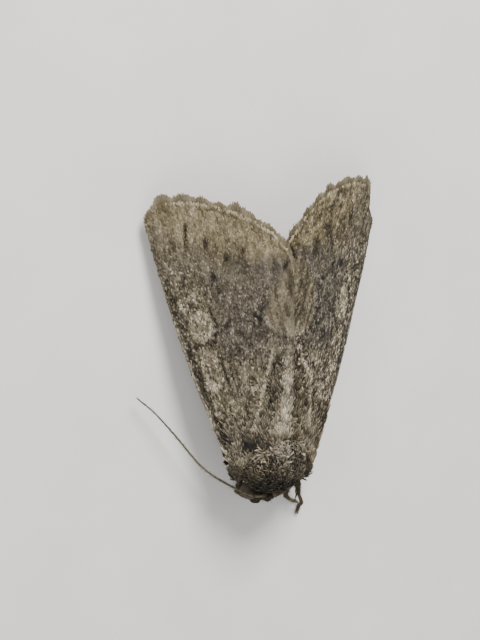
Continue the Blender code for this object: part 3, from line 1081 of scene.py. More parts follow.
    def stigmata(self) -> Array:
        """Kidney, oval and club mark, with pale rings and dark frames, and the broken curve."""
        flat, drawn = self.flat, 0.0
        for mark, pale, fill in ((self.own.kidney, 0.13, 0.07), (self.own.oval, 0.15, 0.03)):
            reach = mark.reach(flat) + 0.10 * noise(flat, 0.4, 14)
            frame = 0.12 * bell(reach, 1.25, 0.16) * (0.7 + 0.4 * noise(flat, 0.8, 15))
            drawn += self.own.bold * (pale * bell(reach, 0.88, 0.16) + fill * smoothstep(1.0, 0.8, reach)
                                      - frame)
        drawn += 0.19 * bell(CLUB.reach(flat), 1.0, 0.26) - 0.05 * CLUB.shade(flat, 0.5)
        broken = 0.25 + 0.75 * smoothstep(-0.5, 0.25, noise(flat, 0.55, 12))
        return drawn - 0.06 * self.own.oval.shade(flat, 0.35) - 0.14 * near_line(flat, CURVE, 0.11) * broken

    def hind_lines(self) -> Array:
        """The pale vein, the pale band along the seam, and painted shade in the cleft at the notch where the
        wings meet, with a pale edge.
        """
        flat, u, seam = self.flat, self.u, self.own.seam
        gap = hind_edge(u) - self.v
        vein = 0.34 * near_line(flat, self.own.vein, 0.11) * (0.8 + 0.3 * noise(flat, 0.5, 16))
        band = bell(gap, seam, 0.31) * smoothstep(0.6, 1.6, u) * smoothstep(7.4, 5.8, u)
        band *= ((0.33 + 0.12 * noise(flat, 0.45, 17) + 0.22 * self.strand)
                 * (1 - 0.3 * smoothstep(2.8, 4.5, u)))
        dark = 0.08 * bell(gap, seam + 0.75, 0.25) * smoothstep(1.5, 3, u) * smoothstep(8, 6, u)
        # painted shade: a dark strip near the hind corner stands for the shadow in the gap where the two
        # wings meet
        painted_notch_shade = 0.14 * bell(gap, 0.38, 0.15) * bell(u, 12.5, 0.7)
        return vein + band - dark - painted_notch_shade + 0.08 * bell(gap, 0.05, 0.12) * smoothstep(11.3, 12.2, u)

    def outer_lines(self) -> Array:
        """Dark wedges, a shade on the outer field's border, the tip's line and the line along the edge."""
        flat, across = self.flat, self.across
        frayed = flat + 0.12 * self.wobble[..., None]
        wedges = 0.32 * sum(wedge.shade(frayed, 0.8) for wedge in self.own.wedges)
        shade = bell(self.outer_gap, -0.25, 0.6) * smoothstep(1.2, 2.2, self.v) * (1 - self.lobe)
        shade *= 0.09 * smoothstep(-0.2, 0.7, strands(flat, 3, 0.3, 18))
        wave = 0.10 + 0.05 * np.cos(2 * np.pi * (8 * across + 0.1)) + 0.03 * noise(flat, 0.6, 19)
        edge = 0.20 * bell(self.margin, wave, 0.075) - 0.09 * bell(self.margin, wave + 0.2, 0.10)
        edge *= smoothstep(0.16, 0.24, across) * (0.9 + 0.3 * noise(flat, 0.9, 20))
        return 0.07 * near_line(flat, TIP_LINE, 0.10) - wedges - shade + edge

    def marks(self) -> Array:
        """Tone, warmth and speckle, n by 3."""
        lines = (self.lobe_lines() + self.front_lines() + self.stigmata() + self.hind_lines()
                 + self.outer_lines())
        return together(self.ground() + lines, self.warmth(), self.speckle())


def plain_marks(flat: Array, across: Array, tone: float) -> Array:
    """The markings of a side that has none but clouds, pale veins and a dim mid spot."""
    spot = 0.10 * Mark(9.8, 2.6, 0.9, 0.6).shade(flat, 0.9) + 0.05 * bell(flat[..., 0], 13.0, 0.35)
    return together(tone + 0.04 * noise(flat, 1.8, 21) + 0.03 * veins(across) - spot, 0.55, 0.07)


# ---------------------------------------------------------------- wings


@dataclass(frozen=True)
class WingCut:
    """The flat outline of a wing in mm: u runs along the front edge, v across to the hind edge.

    Attributes:
        root: Front and hind end of the root.
        tip: The front corner.
        tornus: The hind corner.
        bulges: How far front edge, outer edge and hind edge bow outwards.
        corners: Radii of the two corners.
        bow: How much further the outer edge bows towards the hind corner.
    """

    root: tuple[Pair, Pair]
    tip: Pair
    tornus: Pair
    bulges: Triple
    corners: Pair
    bow: float = 0.0

    def flat(self, along: Array, across: Array) -> Array:
        """Flat places at two shares.

        A share across picks a straight line from the root to the outer edge, like a vein, and
        a share along picks a place on it. The three edges bow outwards as half sine waves. Lines
        near the tip are cut short along themselves and lines near the hind corner along the
        outer edge's normal, both by a quarter circle.

        Args:
            along: Share from root to outer edge.
            across: Share from front edge to hind edge.

        Returns:
            Flat places (u, v).
        """
        along, across = (share[..., None] for share in np.broadcast_arrays(along, across))
        front, hind, tip, tornus = (np.array(p, float) for p in (*self.root, self.tip, self.tornus))
        start = front + (hind - front) * across
        outward = unit(np.array([tornus[1] - tip[1], tip[0] - tornus[0]]))
        bulge = self.bulges[1] * np.sin(np.pi * across) + self.bow * np.sin(np.pi * across**1.2)
        edge = tip + (tornus - tip) * across + outward * bulge
        width = np.linalg.norm(tornus - tip)
        for radius, gone, way in zip(self.corners, (across, 1 - across), (unit(edge - start), outward)):
            reach = np.clip(1 - gone * width / radius, 0, 1)
            edge = edge - way * radius * (1 - np.sqrt(1 - reach**2)) * 0.8
        flat = start + (edge - start) * along
        bow = np.sin(np.pi * along) * (self.bulges[2] * across**4 - self.bulges[0] * (1 - across) ** 4)
        return flat + bow * np.array([0.0, 1.0])


FORE_CUTS = {
    side: WingCut(((-0.6, 0.30), HIND_ROOT), (18.8, -0.35), TORNUS, (0.42, 0.95, 0.12), (2.8, 2.4), bow)
    for side, bow in ((Side.RIGHT, 0.45), (Side.LEFT, 0.95))
}
HIND_CUT = WingCut(((2.4, 2.0), (2.7, 3.4)), (13.4, 3.0), (11.6, 6.5), (0.25, 0.60, 0.15), (2.2, 1.8))


@dataclass(frozen=True)
class WingPose:
    """How a pair of wings is carried on one side, and how worn it is.

    Attributes:
        side: The side.
        root: Place of the wing root in mm.
        roof: Slope down to the side, in degrees.
        spread: Turn of the front edge from the body's axis, in degrees.
        tuck: How far the hind edge is pressed down, in mm.
        press: How much further the thin wing lies down at its hind edge than the solid one.
        nick: How much narrower the worn tip is, in mm.
        bare: Share of the front edge, next to the body, where there is no membrane.
        fringe_tone: Tone of the fringe's lowest layer.
        notch: Share across the wing where the fringe is worn short.
    """

    side: Side
    root: Triple
    roof: float
    spread: float
    tuck: float
    press: float
    nick: float
    bare: float
    fringe_tone: float
    notch: float

    def place(self, flat: Array, drop: Array | float) -> Array:
        """Carries flat wing points to the insect.

        The wing is root + ahead u + over v + up height, where the height is a camber of half
        a sine wave across the wing, less the tuck, the press and the drop.

        Args:
            flat: Flat places, n by 2.
            drop: How far each lies below the solid's upper face, in mm.

        Returns:
            Places in mm.
        """
        sign = self.side.value
        roof, spread = math.radians(self.roof), math.radians(self.spread)
        inward = np.array([-sign * math.cos(roof), 0, math.sin(roof)])
        back = np.array([0.0, 1.0, 0.0])
        ahead = back * math.cos(spread) - inward * math.sin(spread)
        over = back * math.sin(spread) + inward * math.cos(spread)
        up = np.cross(ahead, over) * sign
        u, v = flat[..., 0], flat[..., 1]
        if self.nick:
            v = v + self.nick * np.clip(1 - v / 2.5, 0, 1) * smoothstep(16.45, 16.75, u)
        edge = hind_edge(u)
        height = 0.35 * np.sin(np.pi * np.clip(v / np.maximum(edge, 1), 0, 1)) * smoothstep(0, 6, u)
        gone = np.clip(1 - (edge - v) / 1.8, 0, 1.2) ** 2
        height = height - (self.tuck + self.press) * gone - drop
        return np.array(self.root) + ahead * u[..., None] + over * v[..., None] + up * height[..., None]


WING_POSES = (
    WingPose(Side.RIGHT, (-3.3, -0.20, 3.8), roof=30.5, spread=17.3, tuck=0.55, press=0.28, nick=0.0,
             bare=0.022,
             fringe_tone=0.47, notch=0.43),
    WingPose(Side.LEFT, (3.3, 0.05, 3.8), roof=27.5, spread=20.8, tuck=1.15, press=0.0, nick=0.75, bare=0.0,
             fringe_tone=0.42, notch=0.62),
)


# the fringe's layers from below: a coat, how much paler it is, and how far inside the edge its roots lie
FRINGE = tuple(
    (Coat(SHIELD, count, (length, width, 0.02), lift=0.02, bend=0.06, turn=0.10, speckle=0.03, paling=0.0),
     tone, inset)
    for count, length, width, tone, inset in (
        (1300, 0.62, 0.075, 0.0, 0.0), (1100, 0.54, 0.085, -0.07, 0.008),
        (1000, 0.38, 0.085, -0.02, 0.012), (900, 0.15, 0.10, 0.12, 0.014)))

# scales of the forewing's upper side and of all other sides
FINE_SCALE = Coat(SHIELD, 0, (0.25, 0.125, 0.022), lift=0.10, bend=0.05, turn=0.22, speckle=0.0, paling=0.05)
BROAD_SCALE = Coat(SHIELD, 0, (0.40, 0.21, 0.03), lift=0.06, bend=0.05, turn=0.15, speckle=0.05, paling=0.05)


@dataclass
class Wing:
    """One wing: a thin ribbed membrane, scales on both sides and a fringe.

    Attributes:
        cut: The flat outline.
        pose: How it is carried.
        drop: How far the membrane's upper face lies below the solid's, in mm.
        fore: Whether it is the forewing, which carries the markings.
        thickness: Thickness of the membrane in mm.
        rows: Spacing of the scale rows of the upper side in mm.
        step: Difference of shares that gives directions on the wing.
    """

    cut: WingCut
    pose: WingPose
    drop: float
    fore: bool
    thickness: float = 0.06
    rows: Pair = (0.080, 0.088)
    step: float = 0.003

    def relief(self, along: Array, across: Array) -> Array:
        """The membrane's ribs.

        Folds between the veins are a cosine across the fan that grows towards the outer edge,
        the veins are narrow ridges on it, and the front edge rolls down.

        Args:
            along: Share from root to outer edge.
            across: Share from front edge to hind edge.

        Returns:
            Height in mm.
        """
        fold = 0.035 * veins(across) * smoothstep(0.35, 0.95, along)
        ridge = 0.03 * bell(fan(across) - np.round(fan(across)), 0, 0.12) * smoothstep(0.1, 0.4, along)
        flat = together(17 * along, 7 * across)
        waves = 0.05 * noise(flat, 2.6, 31) + 0.02 * noise(flat, 0.9, 32)
        return fold + ridge + waves * smoothstep(0.05, 0.3, along) - 0.10 * smoothstep(0.05, 0.0, across)

    def surface(self, along: Array, across: Array, under: bool = False) -> Array:
        """Places on the upper or the lower face of the membrane."""
        drop = self.drop - self.relief(along, across) + (self.thickness if under else 0.0)
        return self.pose.place(self.cut.flat(along, across), drop)

    def frame(self, along: Array, across: Array, under: bool = False) -> tuple[Array, Array, Array, Array]:
        """Measures a face of the membrane.

        Args:
            along: Share from root to outer edge.
            across: Share from front edge to hind edge.
            under: Whether it is the lower face.

        Returns:
            Places, directions to the outer edge and to the hind edge, and outward normals.
        """
        place, ahead, over = tangents(lambda s, t: self.surface(s, t, under), along, across, self.step)
        out = unit(np.cross(ahead, over)) * self.pose.side.value
        return place, unit(ahead), unit(over), -out if under else out

    def marks(self, along: Array, across: Array, under: bool = False) -> Array:
        """The markings at two shares.

        Args:
            along: Share from root to outer edge.
            across: Share from front edge to hind edge.
            under: Whether it is the lower face.

        Returns:
            Tone, warmth and speckle, n by 3.
        """
        flat = self.cut.flat(along, across)
        if not self.fore or under:
            return plain_marks(flat, across, 0.46 if self.fore else 0.50)
        margin = np.linalg.norm(self.cut.flat(np.ones(np.shape(along)), across) - flat, axis=-1)
        return ForewingPattern(SIDE_MARKS[self.pose.side], flat, margin, across).marks()

    def membrane(self) -> Form:
        """The closed thin sheet, with the same markings as its scales but a little darker."""
        along, across = np.meshgrid(np.linspace(0, 1, 121), np.linspace(0, 1, 81), indexing="ij")
        along = self.pose.bare * (1 - across) * (1 - along) + along
        form = sheet_form(self.surface(along, across), self.surface(along, across, True))
        told = np.concatenate([self.marks(along, across), self.marks(along, across, True)[:, ::-1]], axis=1)
        form.marks = told.reshape(-1, 3) - np.array((0.06, 0, 0))
        form.marks[:, 2] = 0.5
        return form

    def scale_shares(self, rows: Pair, rng: np.random.Generator) -> tuple[Array, Array]:
        """Sets out the scales' roots, in rows across the wing that get longer outwards.

        Args:
            rows: Distance between rows, and between roots in a row, in mm.
            rng: Source of jitter.

        Returns:
            Shares along and across.
        """
        count = int(16.5 * (1 if self.fore else 0.62) / rows[0])
        along = np.linspace(0.01, 0.995, count)
        ends = self.cut.flat(along, np.zeros(count)), self.cut.flat(along, np.ones(count))
        in_row = (np.linalg.norm(ends[1] - ends[0], axis=-1) / rows[1]).astype(int)
        row = np.repeat(np.arange(count), in_row)
        first = np.repeat(np.cumsum(in_row) - in_row, in_row)
        across = (np.arange(len(row)) - first + rng.random(len(row))) / in_row[row]
        along = along[row] + rng.uniform(-0.6, 0.6, len(row)) / count
        return np.clip(along, self.pose.bare * (1 - across), 0.998), across

    def scales(self, coat: Coat, rows: Pair, under: bool, rng: np.random.Generator) -> Form:
        """Covers one side with scales. Clumps of like scales make the salt and pepper.

        Args:
            coat: How the scales are cut and set.
            rows: Distance between rows, and between roots in a row, in mm.
            under: Whether it is the lower face.
            rng: Source of chance.

        Returns:
            The scales.
        """
        along, across = self.scale_shares(rows, rng)
        place, ahead, over, out = self.frame(along, across, under)
        clear = THORAX.outside(place, -0.16)
        along, across, place, ahead, over, out = (a[clear] for a in (along, across, place, ahead, over, out))
        told = self.marks(along, across, under)
        flat = self.cut.flat(along, across)
        clump = strands(flat, 2, 0.15, 41) + 0.5 * noise(flat, 0.11, 42)
        pick = rng.normal(0, 0.3, len(clump)) + rng.choice((-0.6, 0.0, 0.9), len(clump), p=(0.22, 0.64, 0.14))
        told[:, 0] += told[:, 2] * (0.55 * clump + 0.78 * pick)
        front = smoothstep(0.03, 0.0, across)
        over = over * (0.5 * smoothstep(0.985, 1.0, across) - 0.12 * front)[:, None]
        size = (1 - 0.35 * smoothstep(0.25, 0.0, along)) * (1 - 0.35 * front)
        return set_tufts(coat, place, ahead + over, out, told, np.stack([along, across], -1), rng, size)

    def outer_fringe(self, rng: np.random.Generator) -> list[Form]:
        """Sets the fringe's layers. The lowest is longest.

        Gaps and lengths follow noise along the edge, so that the fringe looks worn.

        Args:
            rng: Source of jitter.

        Returns:
            A form for each layer.
        """
        forms = []
        for k, (coat, tone, inset) in enumerate(FRINGE):
            count = coat.count
            across = (np.arange(count) + rng.random(count)) / count
            place, ahead, over, out = self.frame(np.full(count, 1.004 - inset), across)
            edge = across[:, None] * 11
            wear = 0.34 * noise(edge, 0.7, 51) + 0.12 * noise(edge, 0.11, 61 + k)
            corner = smoothstep(0.0, 0.12, across) * smoothstep(1.0, 0.95, across)
            size = (0.80 + wear * (0.3 if coat is FRINGE[-1][0] else 1.0)) * (0.42 + 0.58 * corner)
            size *= 1 - 0.45 * bell(across, self.pose.notch, 0.03)
            tones = self.pose.fringe_tone + tone + 0.05 * veins(across) + rng.normal(0, 0.04, count)
            sweep = 0.4 * smoothstep(0.93, 1.0, across) - 0.5 * smoothstep(0.07, 0.0, across)
            forms.append(set_tufts(coat, place - out * (0.05 - 0.012 * k), ahead + over * sweep[:, None], out,
                                   together(tones, 0.6), together(0.2 + 0.2 * k, across), rng, size))
        return forms

    def fringe(self, rng: np.random.Generator) -> Form:
        """Sets narrow scales round the outer corner, the outer edge and the hind edge.

        Args:
            rng: Source of chance.

        Returns:
            The layers of the outer edge and one row along the hind edge.
        """
        forms = self.outer_fringe(rng)
        count = 900
        along = 0.12 + 0.88 * (np.arange(count) + rng.random(count)) / count
        place, ahead, over, out = self.frame(along, np.full(count, 0.998))
        told = self.marks(along, np.full(count, 0.99))
        told[:, 0] += 0.04 * smoothstep(0.45, 0.35, along) - 0.02
        coat = Coat(SHIELD, count, (0.34, 0.08, 0.02), lift=0.02, bend=0.08, turn=0.12, speckle=0.07)
        row = set_tufts(coat, place - out * 0.03, ahead + over * 0.55, out, told, together(along, 0.95), rng)
        return join([*forms, row])

    def base_hairs(self, rng: np.random.Generator) -> Form:
        """Sets long narrow scales over the wing's base and along the inner half of its hind edge.

        Args:
            rng: Source of chance.

        Returns:
            The scales.
        """
        tried = 13000
        along, across = rng.random(tried) ** 1.3 * 0.42, rng.random(tried)
        along = along + self.pose.bare * (1 - across)
        place, ahead, _, out = self.frame(along, across)
        flat = self.cut.flat(along, across)
        u, edge = flat[:, 0], hind_edge(flat[:, 0])
        chance = (smoothstep(4.2, 1.2, u)
                  + 0.6 * smoothstep(7.0, 5.0, u) * smoothstep(1.9, 0.5, edge - flat[:, 1]))
        kept = THORAX.outside(place, -0.1) & (rng.random(tried) < chance * (edge / 8) * 0.55)
        place, ahead, out, along, across = (a[kept] for a in (place, ahead, out, along, across))
        told = self.marks(along, across)
        told[:, 0] += 0.20 * noise(flat[kept], 0.30, 44) - 0.03
        told[:, 0] += 0.15 * bell(np.abs(place[:, 0]), 2.62, 0.17) * smoothstep(3.0, 1.8, place[:, 1])
        coat = Coat(LOCK, 0, (0.52, 0.080, 0.045), lift=0.24, bend=0.18, turn=0.34, speckle=0.16, paling=0.30)
        return set_tufts(coat, place, ahead, out, told, np.stack([along, across], -1), rng)

    def build(self, shop: Workshop) -> None:
        """Makes the wing's pieces.

        Args:
            shop: Takes the pieces.
        """
        slot = "forewing" if self.fore else "hindwing"
        node = f"{slot}_{self.pose.side.label}"
        first = 100 + 10 * self.fore + self.pose.side.value
        chance = [np.random.default_rng(first + k) for k in range(4)]
        upper = FINE_SCALE if self.fore else BROAD_SCALE
        shop.add(f"{node}_membrane", self.membrane(), shop.finishes.membrane, slot, [node])
        dust = {"upper_scales": self.scales(upper, self.rows, False, chance[0]),
                "under_scales": self.scales(BROAD_SCALE, (0.15, 0.15), True, chance[1]),
                "fringe": self.fringe(chance[2])}
        for name, form in dust.items():
            shop.add(f"{node}_{name}", form, shop.finishes.scales, slot, smooth=False)
        if self.fore:
            hairs = self.base_hairs(chance[3])
            shop.add(f"{node}_base_hairs", hairs, shop.finishes.hairs, slot, smooth=False)


# ---------------------------------------------------------------- body


@dataclass(frozen=True)
class Ball:
    """An ellipsoid with its poles along X, by its middle and half its sizes in mm."""

    centre: Triple
    radii: Triple

    def surface(self, along: Array, around: Array) -> Array:
        """Places at a share from pole to pole and a share of the way round."""
        turn, angle = np.pi * along, 2 * np.pi * around
        spot = together(np.cos(turn), np.sin(turn) * np.cos(angle), np.sin(turn) * np.sin(angle))
        return spot * self.radii + self.centre

    def axis(self, places: Array) -> Array:
        """The middle, for each place."""
        return np.broadcast_to(self.centre, places.shape)

    def form(self, rows: int = 18, sides: int = 28, pole: float = 0.04) -> Form:
        """The closed form, with its poles cut off at this share."""
        return ring_form(self.surface(*ring_shares(rows, sides, pole, 1 - pole)))


# above this height in mm the thorax tufts lie ever flatter
CROWN = 5.6

SHOULDERS = {
    Side.RIGHT: Ball((-2.58, -0.05, 3.70), (0.58, 0.70, 0.34)),
    Side.LEFT: Ball((2.14, -0.25, 3.66), (0.62, 0.95, 0.40)),
}

# the neck, the waist and the chin, which close the gaps between head, thorax and abdomen
FILLERS = (Ball((0, -1.60, 2.3), (0.95, 0.6, 0.95)), Ball((0, 2.35, 2.6), (1.1, 0.7, 0.9)),
           Ball((0, -2.72, 1.15), (0.55, 0.35, 0.45)))


@dataclass(frozen=True)
class Thorax:
    """The domed trunk.

    A section at y is an ellipse, and its share of full size follows a superellipse along Y.
    Sizes are in mm. Furrows run behind the collar and, at the angle plate_top from straight
    up, over the shoulder plates, which end at plate_back.
    """

    middle: float = 0.15
    height: float = 3.3
    half_length: float = 2.25
    half_width: float = 2.45
    rise: float = 2.5
    depth: float = 2.1
    power: float = 2.3
    collar: float = -1.3
    plate_top: float = math.radians(33)
    plate_back: float = 1.6
    coat: float = 0.34

    def axis(self, places: Array) -> Array:
        """The middle line, beside each place."""
        return together(0.0, places[..., 1], self.height)

    def share(self, y: Array, grow: Array | float) -> Array:
        """Share of full size that the section at y has, on the outline grown by this much."""
        along = np.clip(np.abs(y - self.middle) / (self.half_length + grow), 0, 1)
        return (1 - along**self.power) ** (1 / self.power)

    def dome(self, y: Array, angle: Array, grow: Array | float) -> Array:
        """Finds places on the outline.

        Args:
            y: Places along Y.
            angle: Angles round from straight up.
            grow: How much the outline is grown.

        Returns:
            Places in mm.
        """
        share = self.share(y, grow)
        rise = np.where(np.cos(angle) > 0, self.rise, self.depth) + grow
        half = (self.half_width + grow) * share
        return together(half * np.sin(angle), y, self.height + rise * share * np.cos(angle))

    def outside(self, places: Array, grow: float) -> Array:
        """Tests places against the outline.

        Args:
            places: Places in mm.
            grow: How much the outline is grown.

        Returns:
            True where a place lies outside.
        """
        x, y, high = np.moveaxis(places - (0, 0, self.height), -1, 0)
        rise = np.where(high > 0, self.rise, self.depth) + grow
        return np.hypot(x / (self.half_width + grow), high / rise) > self.share(y, grow)

    def surface(self, along: Array, around: Array) -> Array:
        """The skin under the coat, with furrows round the collar and the shoulder plates.

        Args:
            along: Share from front to back.
            around: Share of the way round.

        Returns:
            Places in mm.
        """
        turn = (0.03 + 0.94 * along) * np.pi
        y = self.middle - (self.half_length - self.coat) * np.cos(turn)
        angle = 2 * np.pi * (around - 0.5)
        plates = (smoothstep(self.collar, self.collar + 0.3, y)
                  * smoothstep(self.plate_back + 0.3, self.plate_back, y))
        furrow = (0.16 * bell(np.abs(angle), self.plate_top, 0.10) * plates
                  + 0.16 * bell(y, self.collar + 0.1, 0.14))
        crest = 0.08 * bell(angle, 0, 0.10) * smoothstep(-1.2, -0.4, y)
        return self.dome(y, angle, -self.coat - furrow + crest)


THORAX = Thorax()


@dataclass(frozen=True)
class Tube:
    """A round tube along a path, with a radius at each station."""

    path: Array
    radii: Array
    pole: Triple = (0.0, 0.0, 1.0)
    flatten: float = 1.0

    @classmethod
    def through(cls, points: Sequence[Triple], radii: Sequence[float], per_span: int = 8,
                **kw: object) -> "Tube":
        """A smooth tube through points with a radius at each."""
        table = smooth_path(np.column_stack([np.array(points, float), np.array(radii, float)]), per_span)
        return cls(table[:, :3], table[:, 3], **kw)

    def surface(self, along: Array, around: Array) -> Array:
        """Places: the station at a share along, plus its radius turned by the share around.

        Args:
            along: Share of the path.
            around: Share of the way round.

        Returns:
            Places in mm.
        """
        ahead = unit(np.gradient(self.path, axis=0))
        across = unit(np.cross(ahead, self.pole))
        over = np.cross(across, ahead) * self.flatten
        turn = 2 * np.pi * np.asarray(around)[..., None]
        reach = sample(across, along) * np.cos(turn) + sample(over, along) * np.sin(turn)
        return sample(self.path, along) + reach * sample(self.radii[:, None], along)

    def axis(self, places: Array) -> Array:
        """The station nearest to each place."""
        gaps = np.linalg.norm(places[:, None] - self.path[None, ::2], axis=-1)
        return self.path[::2][gaps.argmin(1)]

    def form(self, rows: int, sides: int) -> Form:
        """Closes the tube with rounded ends.

        Args:
            rows: Rings along it.
            sides: Points in each ring.

        Returns:
            The closed form.
        """
        along, around = ring_shares(rows, sides)
        even, cap = along[:, :1], 0.06
        ends = sample(self.path, even)
        gone = np.clip(np.abs(2 * even - 1) - (1 - cap), 0, 1) ** 2 / cap**2
        return ring_form(ends + (self.surface(along, around) - ends)
                         * np.sqrt(np.clip(1 - gone, 0.05, 1))[..., None])


def mirrored(points: Sequence[Triple], side: Side) -> list[Triple]:
    """The points of the left side, or the same on the right."""
    return [(side.value * x, y, z) for x, y, z in points]


def hook(start: Array, ahead: Array, steps: Sequence[Triple], radii: Sequence[float], per_span: int) -> Tube:
    """A curved cone, as a claw or a spur.

    Args:
        start: Where it starts, in mm.
        ahead: Its direction.
        steps: Its points from there, in mm ahead, sideways and up.
        radii: Radius at each point.
        per_span: Steps between two points.

    Returns:
        The tube.
    """
    side = unit(np.cross(ahead, (0, 0, 1.0)))
    chain = [start + ahead * far + side * aside + (0, 0, up) for far, aside, up in steps]
    return Tube.through(chain, radii, per_span)


@dataclass(frozen=True)
class Leg:
    """One leg, from hip to claws, with its five foot joints."""

    name: str
    side: Side
    hip: Triple
    knee: Triple
    ankle: Triple
    foot: tuple[Triple, ...]
    spurs: tuple[float, ...] = ()

    def points(self, *chain: Triple) -> Array:
        """Joints of this leg on its own side."""
        return np.array(mirrored(chain, self.side))

    def shaft(self, start: Triple, end: Triple, radii: Sequence[float], flatten: float = 1.0) -> Tube:
        """A straight part of the leg.

        Args:
            start: Its upper joint.
            end: Its lower joint.
            radii: Radii at even steps.
            flatten: Height of its section as a share of its width.

        Returns:
            The tube.
        """
        start, end = self.points(start, end)
        chain = start + (end - start) * np.linspace(0, 1, len(radii))[:, None]
        return Tube.through(chain, radii, flatten=flatten)

    def femur(self) -> Tube:
        """Thickest a third of the way down."""
        return self.shaft(self.hip, self.knee, (0.16, 0.24, 0.26, 0.20, 0.14), 1.1)

    def tibia(self) -> Tube:
        """Slender, a little thicker below its middle."""
        return self.shaft(self.knee, self.ankle, (0.11, 0.15, 0.165, 0.155, 0.115))

    def tarsus(self) -> Tube:
        """Five joints, each widening to its end. The foot lies on the ground."""
        table = smooth_path(self.points(self.ankle, *self.foot), 30)
        low, high = 0.24, 0.45
        height = np.interp(table[:, 2], (low, high), (0.135, 0.40))
        table[:, 2] = np.where(table[:, 2] < high, height, table[:, 2])
        share = np.linspace(0, 1, len(table))
        joint = np.interp(share, (0, 0.38, 0.58, 0.74, 0.87, 1), range(6)) % 1
        return Tube(table, (0.120 - 0.025 * share) * (0.80 + 0.28 * joint**1.5))

    def coxa(self) -> Tube:
        """The part from inside the thorax to the hip."""
        hip = np.array(self.hip)
        top = hip * (0.7, 1.0, 1.0) + (0.0, 0.15, 1.05)
        middle = (hip + top) / 2 + (0.05, -0.12, 0.0)
        return Tube.through(self.points(tuple(top), tuple(middle), tuple(hip)), (0.42, 0.36, 0.24))

    def parts(self) -> dict[str, Tube]:
        """The three scaled parts by name."""
        return {"femur": self.femur(), "tibia": self.tibia(), "tarsus": self.tarsus()}

    def forms(self) -> list[Form]:
        """The leg's closed tubes, which overlap at the joints."""
        return [self.coxa().form(14, 14), self.femur().form(24, 14), self.tibia().form(24, 14),
                self.tarsus().form(90, 12)]

    def horn(self) -> list[Form]:
        """The pair of claws and the tibial spurs, as curved cones."""
        tarsus, tibia = self.tarsus(), self.tibia()
        end, ahead = tarsus.path[-1], unit(tarsus.path[-1] - tarsus.path[-8])
        forms = []
        for sign in (-1, 1):
            claw = ((-0.05, 0, 0), (0.10, sign * 0.05, 0.05), (0.20, sign * 0.09, 0),
                    (0.22, sign * 0.10, -0.08))
            forms.append(hook(end, ahead, claw, (0.04, 0.035, 0.02, 0.006), 4).form(12, 7))
        down = unit(tibia.path[-1] - tibia.path[0])
        for share in self.spurs:
            for sign, length in ((-1, 0.55), (1, 0.75)):
                spur = ((0, 0, 0), (length * 0.5, sign * 0.18, -0.10), (length, sign * 0.22, -0.16))
                forms.append(hook(sample(tibia.path, np.array(share)), down, spur, (0.06, 0.05, 0.012),
                                  5).form(10, 7))
        return forms


LEGS = [
    Leg("foreleg", Side.LEFT, (0.45, -1.10, 0.90), (2.10, -2.00, 1.20), (2.25, -3.50, 0.75),
        ((2.60, -3.92, 0.30), (2.95, -4.20, 0.24), (3.28, -4.36, 0.24))),
    Leg("foreleg", Side.RIGHT, (0.45, -1.10, 0.85), (1.30, -1.80, 1.00), (1.20, -2.70, 0.50),
        ((1.20, -2.95, 0.26), (0.65, -3.38, 0.24), (0.00, -3.66, 0.24))),
    Leg("midleg", Side.LEFT, (0.65, -0.15, 0.75), (2.60, -1.35, 1.70), (2.95, -3.30, 1.30),
        ((3.42, -4.18, 0.82), (3.55, -4.70, 0.24), (3.42, -5.12, 0.24)), (0.97,)),
    Leg("midleg", Side.RIGHT, (0.65, -0.15, 0.75), (2.40, -0.25, 1.40), (2.40, 1.55, 0.55),
        ((2.45, 2.10, 0.26), (2.60, 3.20, 0.24), (2.80, 4.40, 0.24)), (0.97,)),
    *(Leg("hindleg", side, (0.70, 0.85, 0.80), (3.00, 1.85, 1.70), (3.30, 6.20, 0.55),
          ((3.34, 6.80, 0.26), (3.40, 8.40, 0.24), (3.50, 10.00, 0.24)), (0.6, 0.97)) for side in Side),
]


@dataclass(frozen=True)
class Abdomen:
    """The long ringed cone under the wings, in mm, with the height of its middle line."""

    start: float = 2.6
    end: float = 11.4
    half_width: float = 1.9
    half_height: float = 1.35
    height: float = 1.9
    coat: float = 0.20
    rings: int = 8

    def axis(self, places: Array) -> Array:
        """The middle line, beside each place."""
        return together(0.0, places[..., 1], self.height)

    def surface(self, along: Array, around: Array) -> Array:
        """Ellipses whose size follows a profile, pinched a little between the rings.

        Args:
            along: Share from front to back.
            around: Share of the way round.

        Returns:
            Places in mm.
        """
        girth = np.interp(along, (-0.1, 0, 0.06, 0.25, 0.6, 0.96, 1.0),
                          (0.5, 0.62, 0.84, 1, 0.88, 0.55, 0.40))
        ring = (along * self.rings) % 1
        under = self.coat + 0.05 * (bell(ring, 0.0, 0.12) + bell(ring, 1.0, 0.12))
        y = self.start - 0.3 + along * (self.end - self.start + 0.3)
        turn = 2 * np.pi * around
        return together((self.half_width * girth - under) * np.cos(turn), y,
                        self.height + (self.half_height * girth - under) * np.sin(turn))


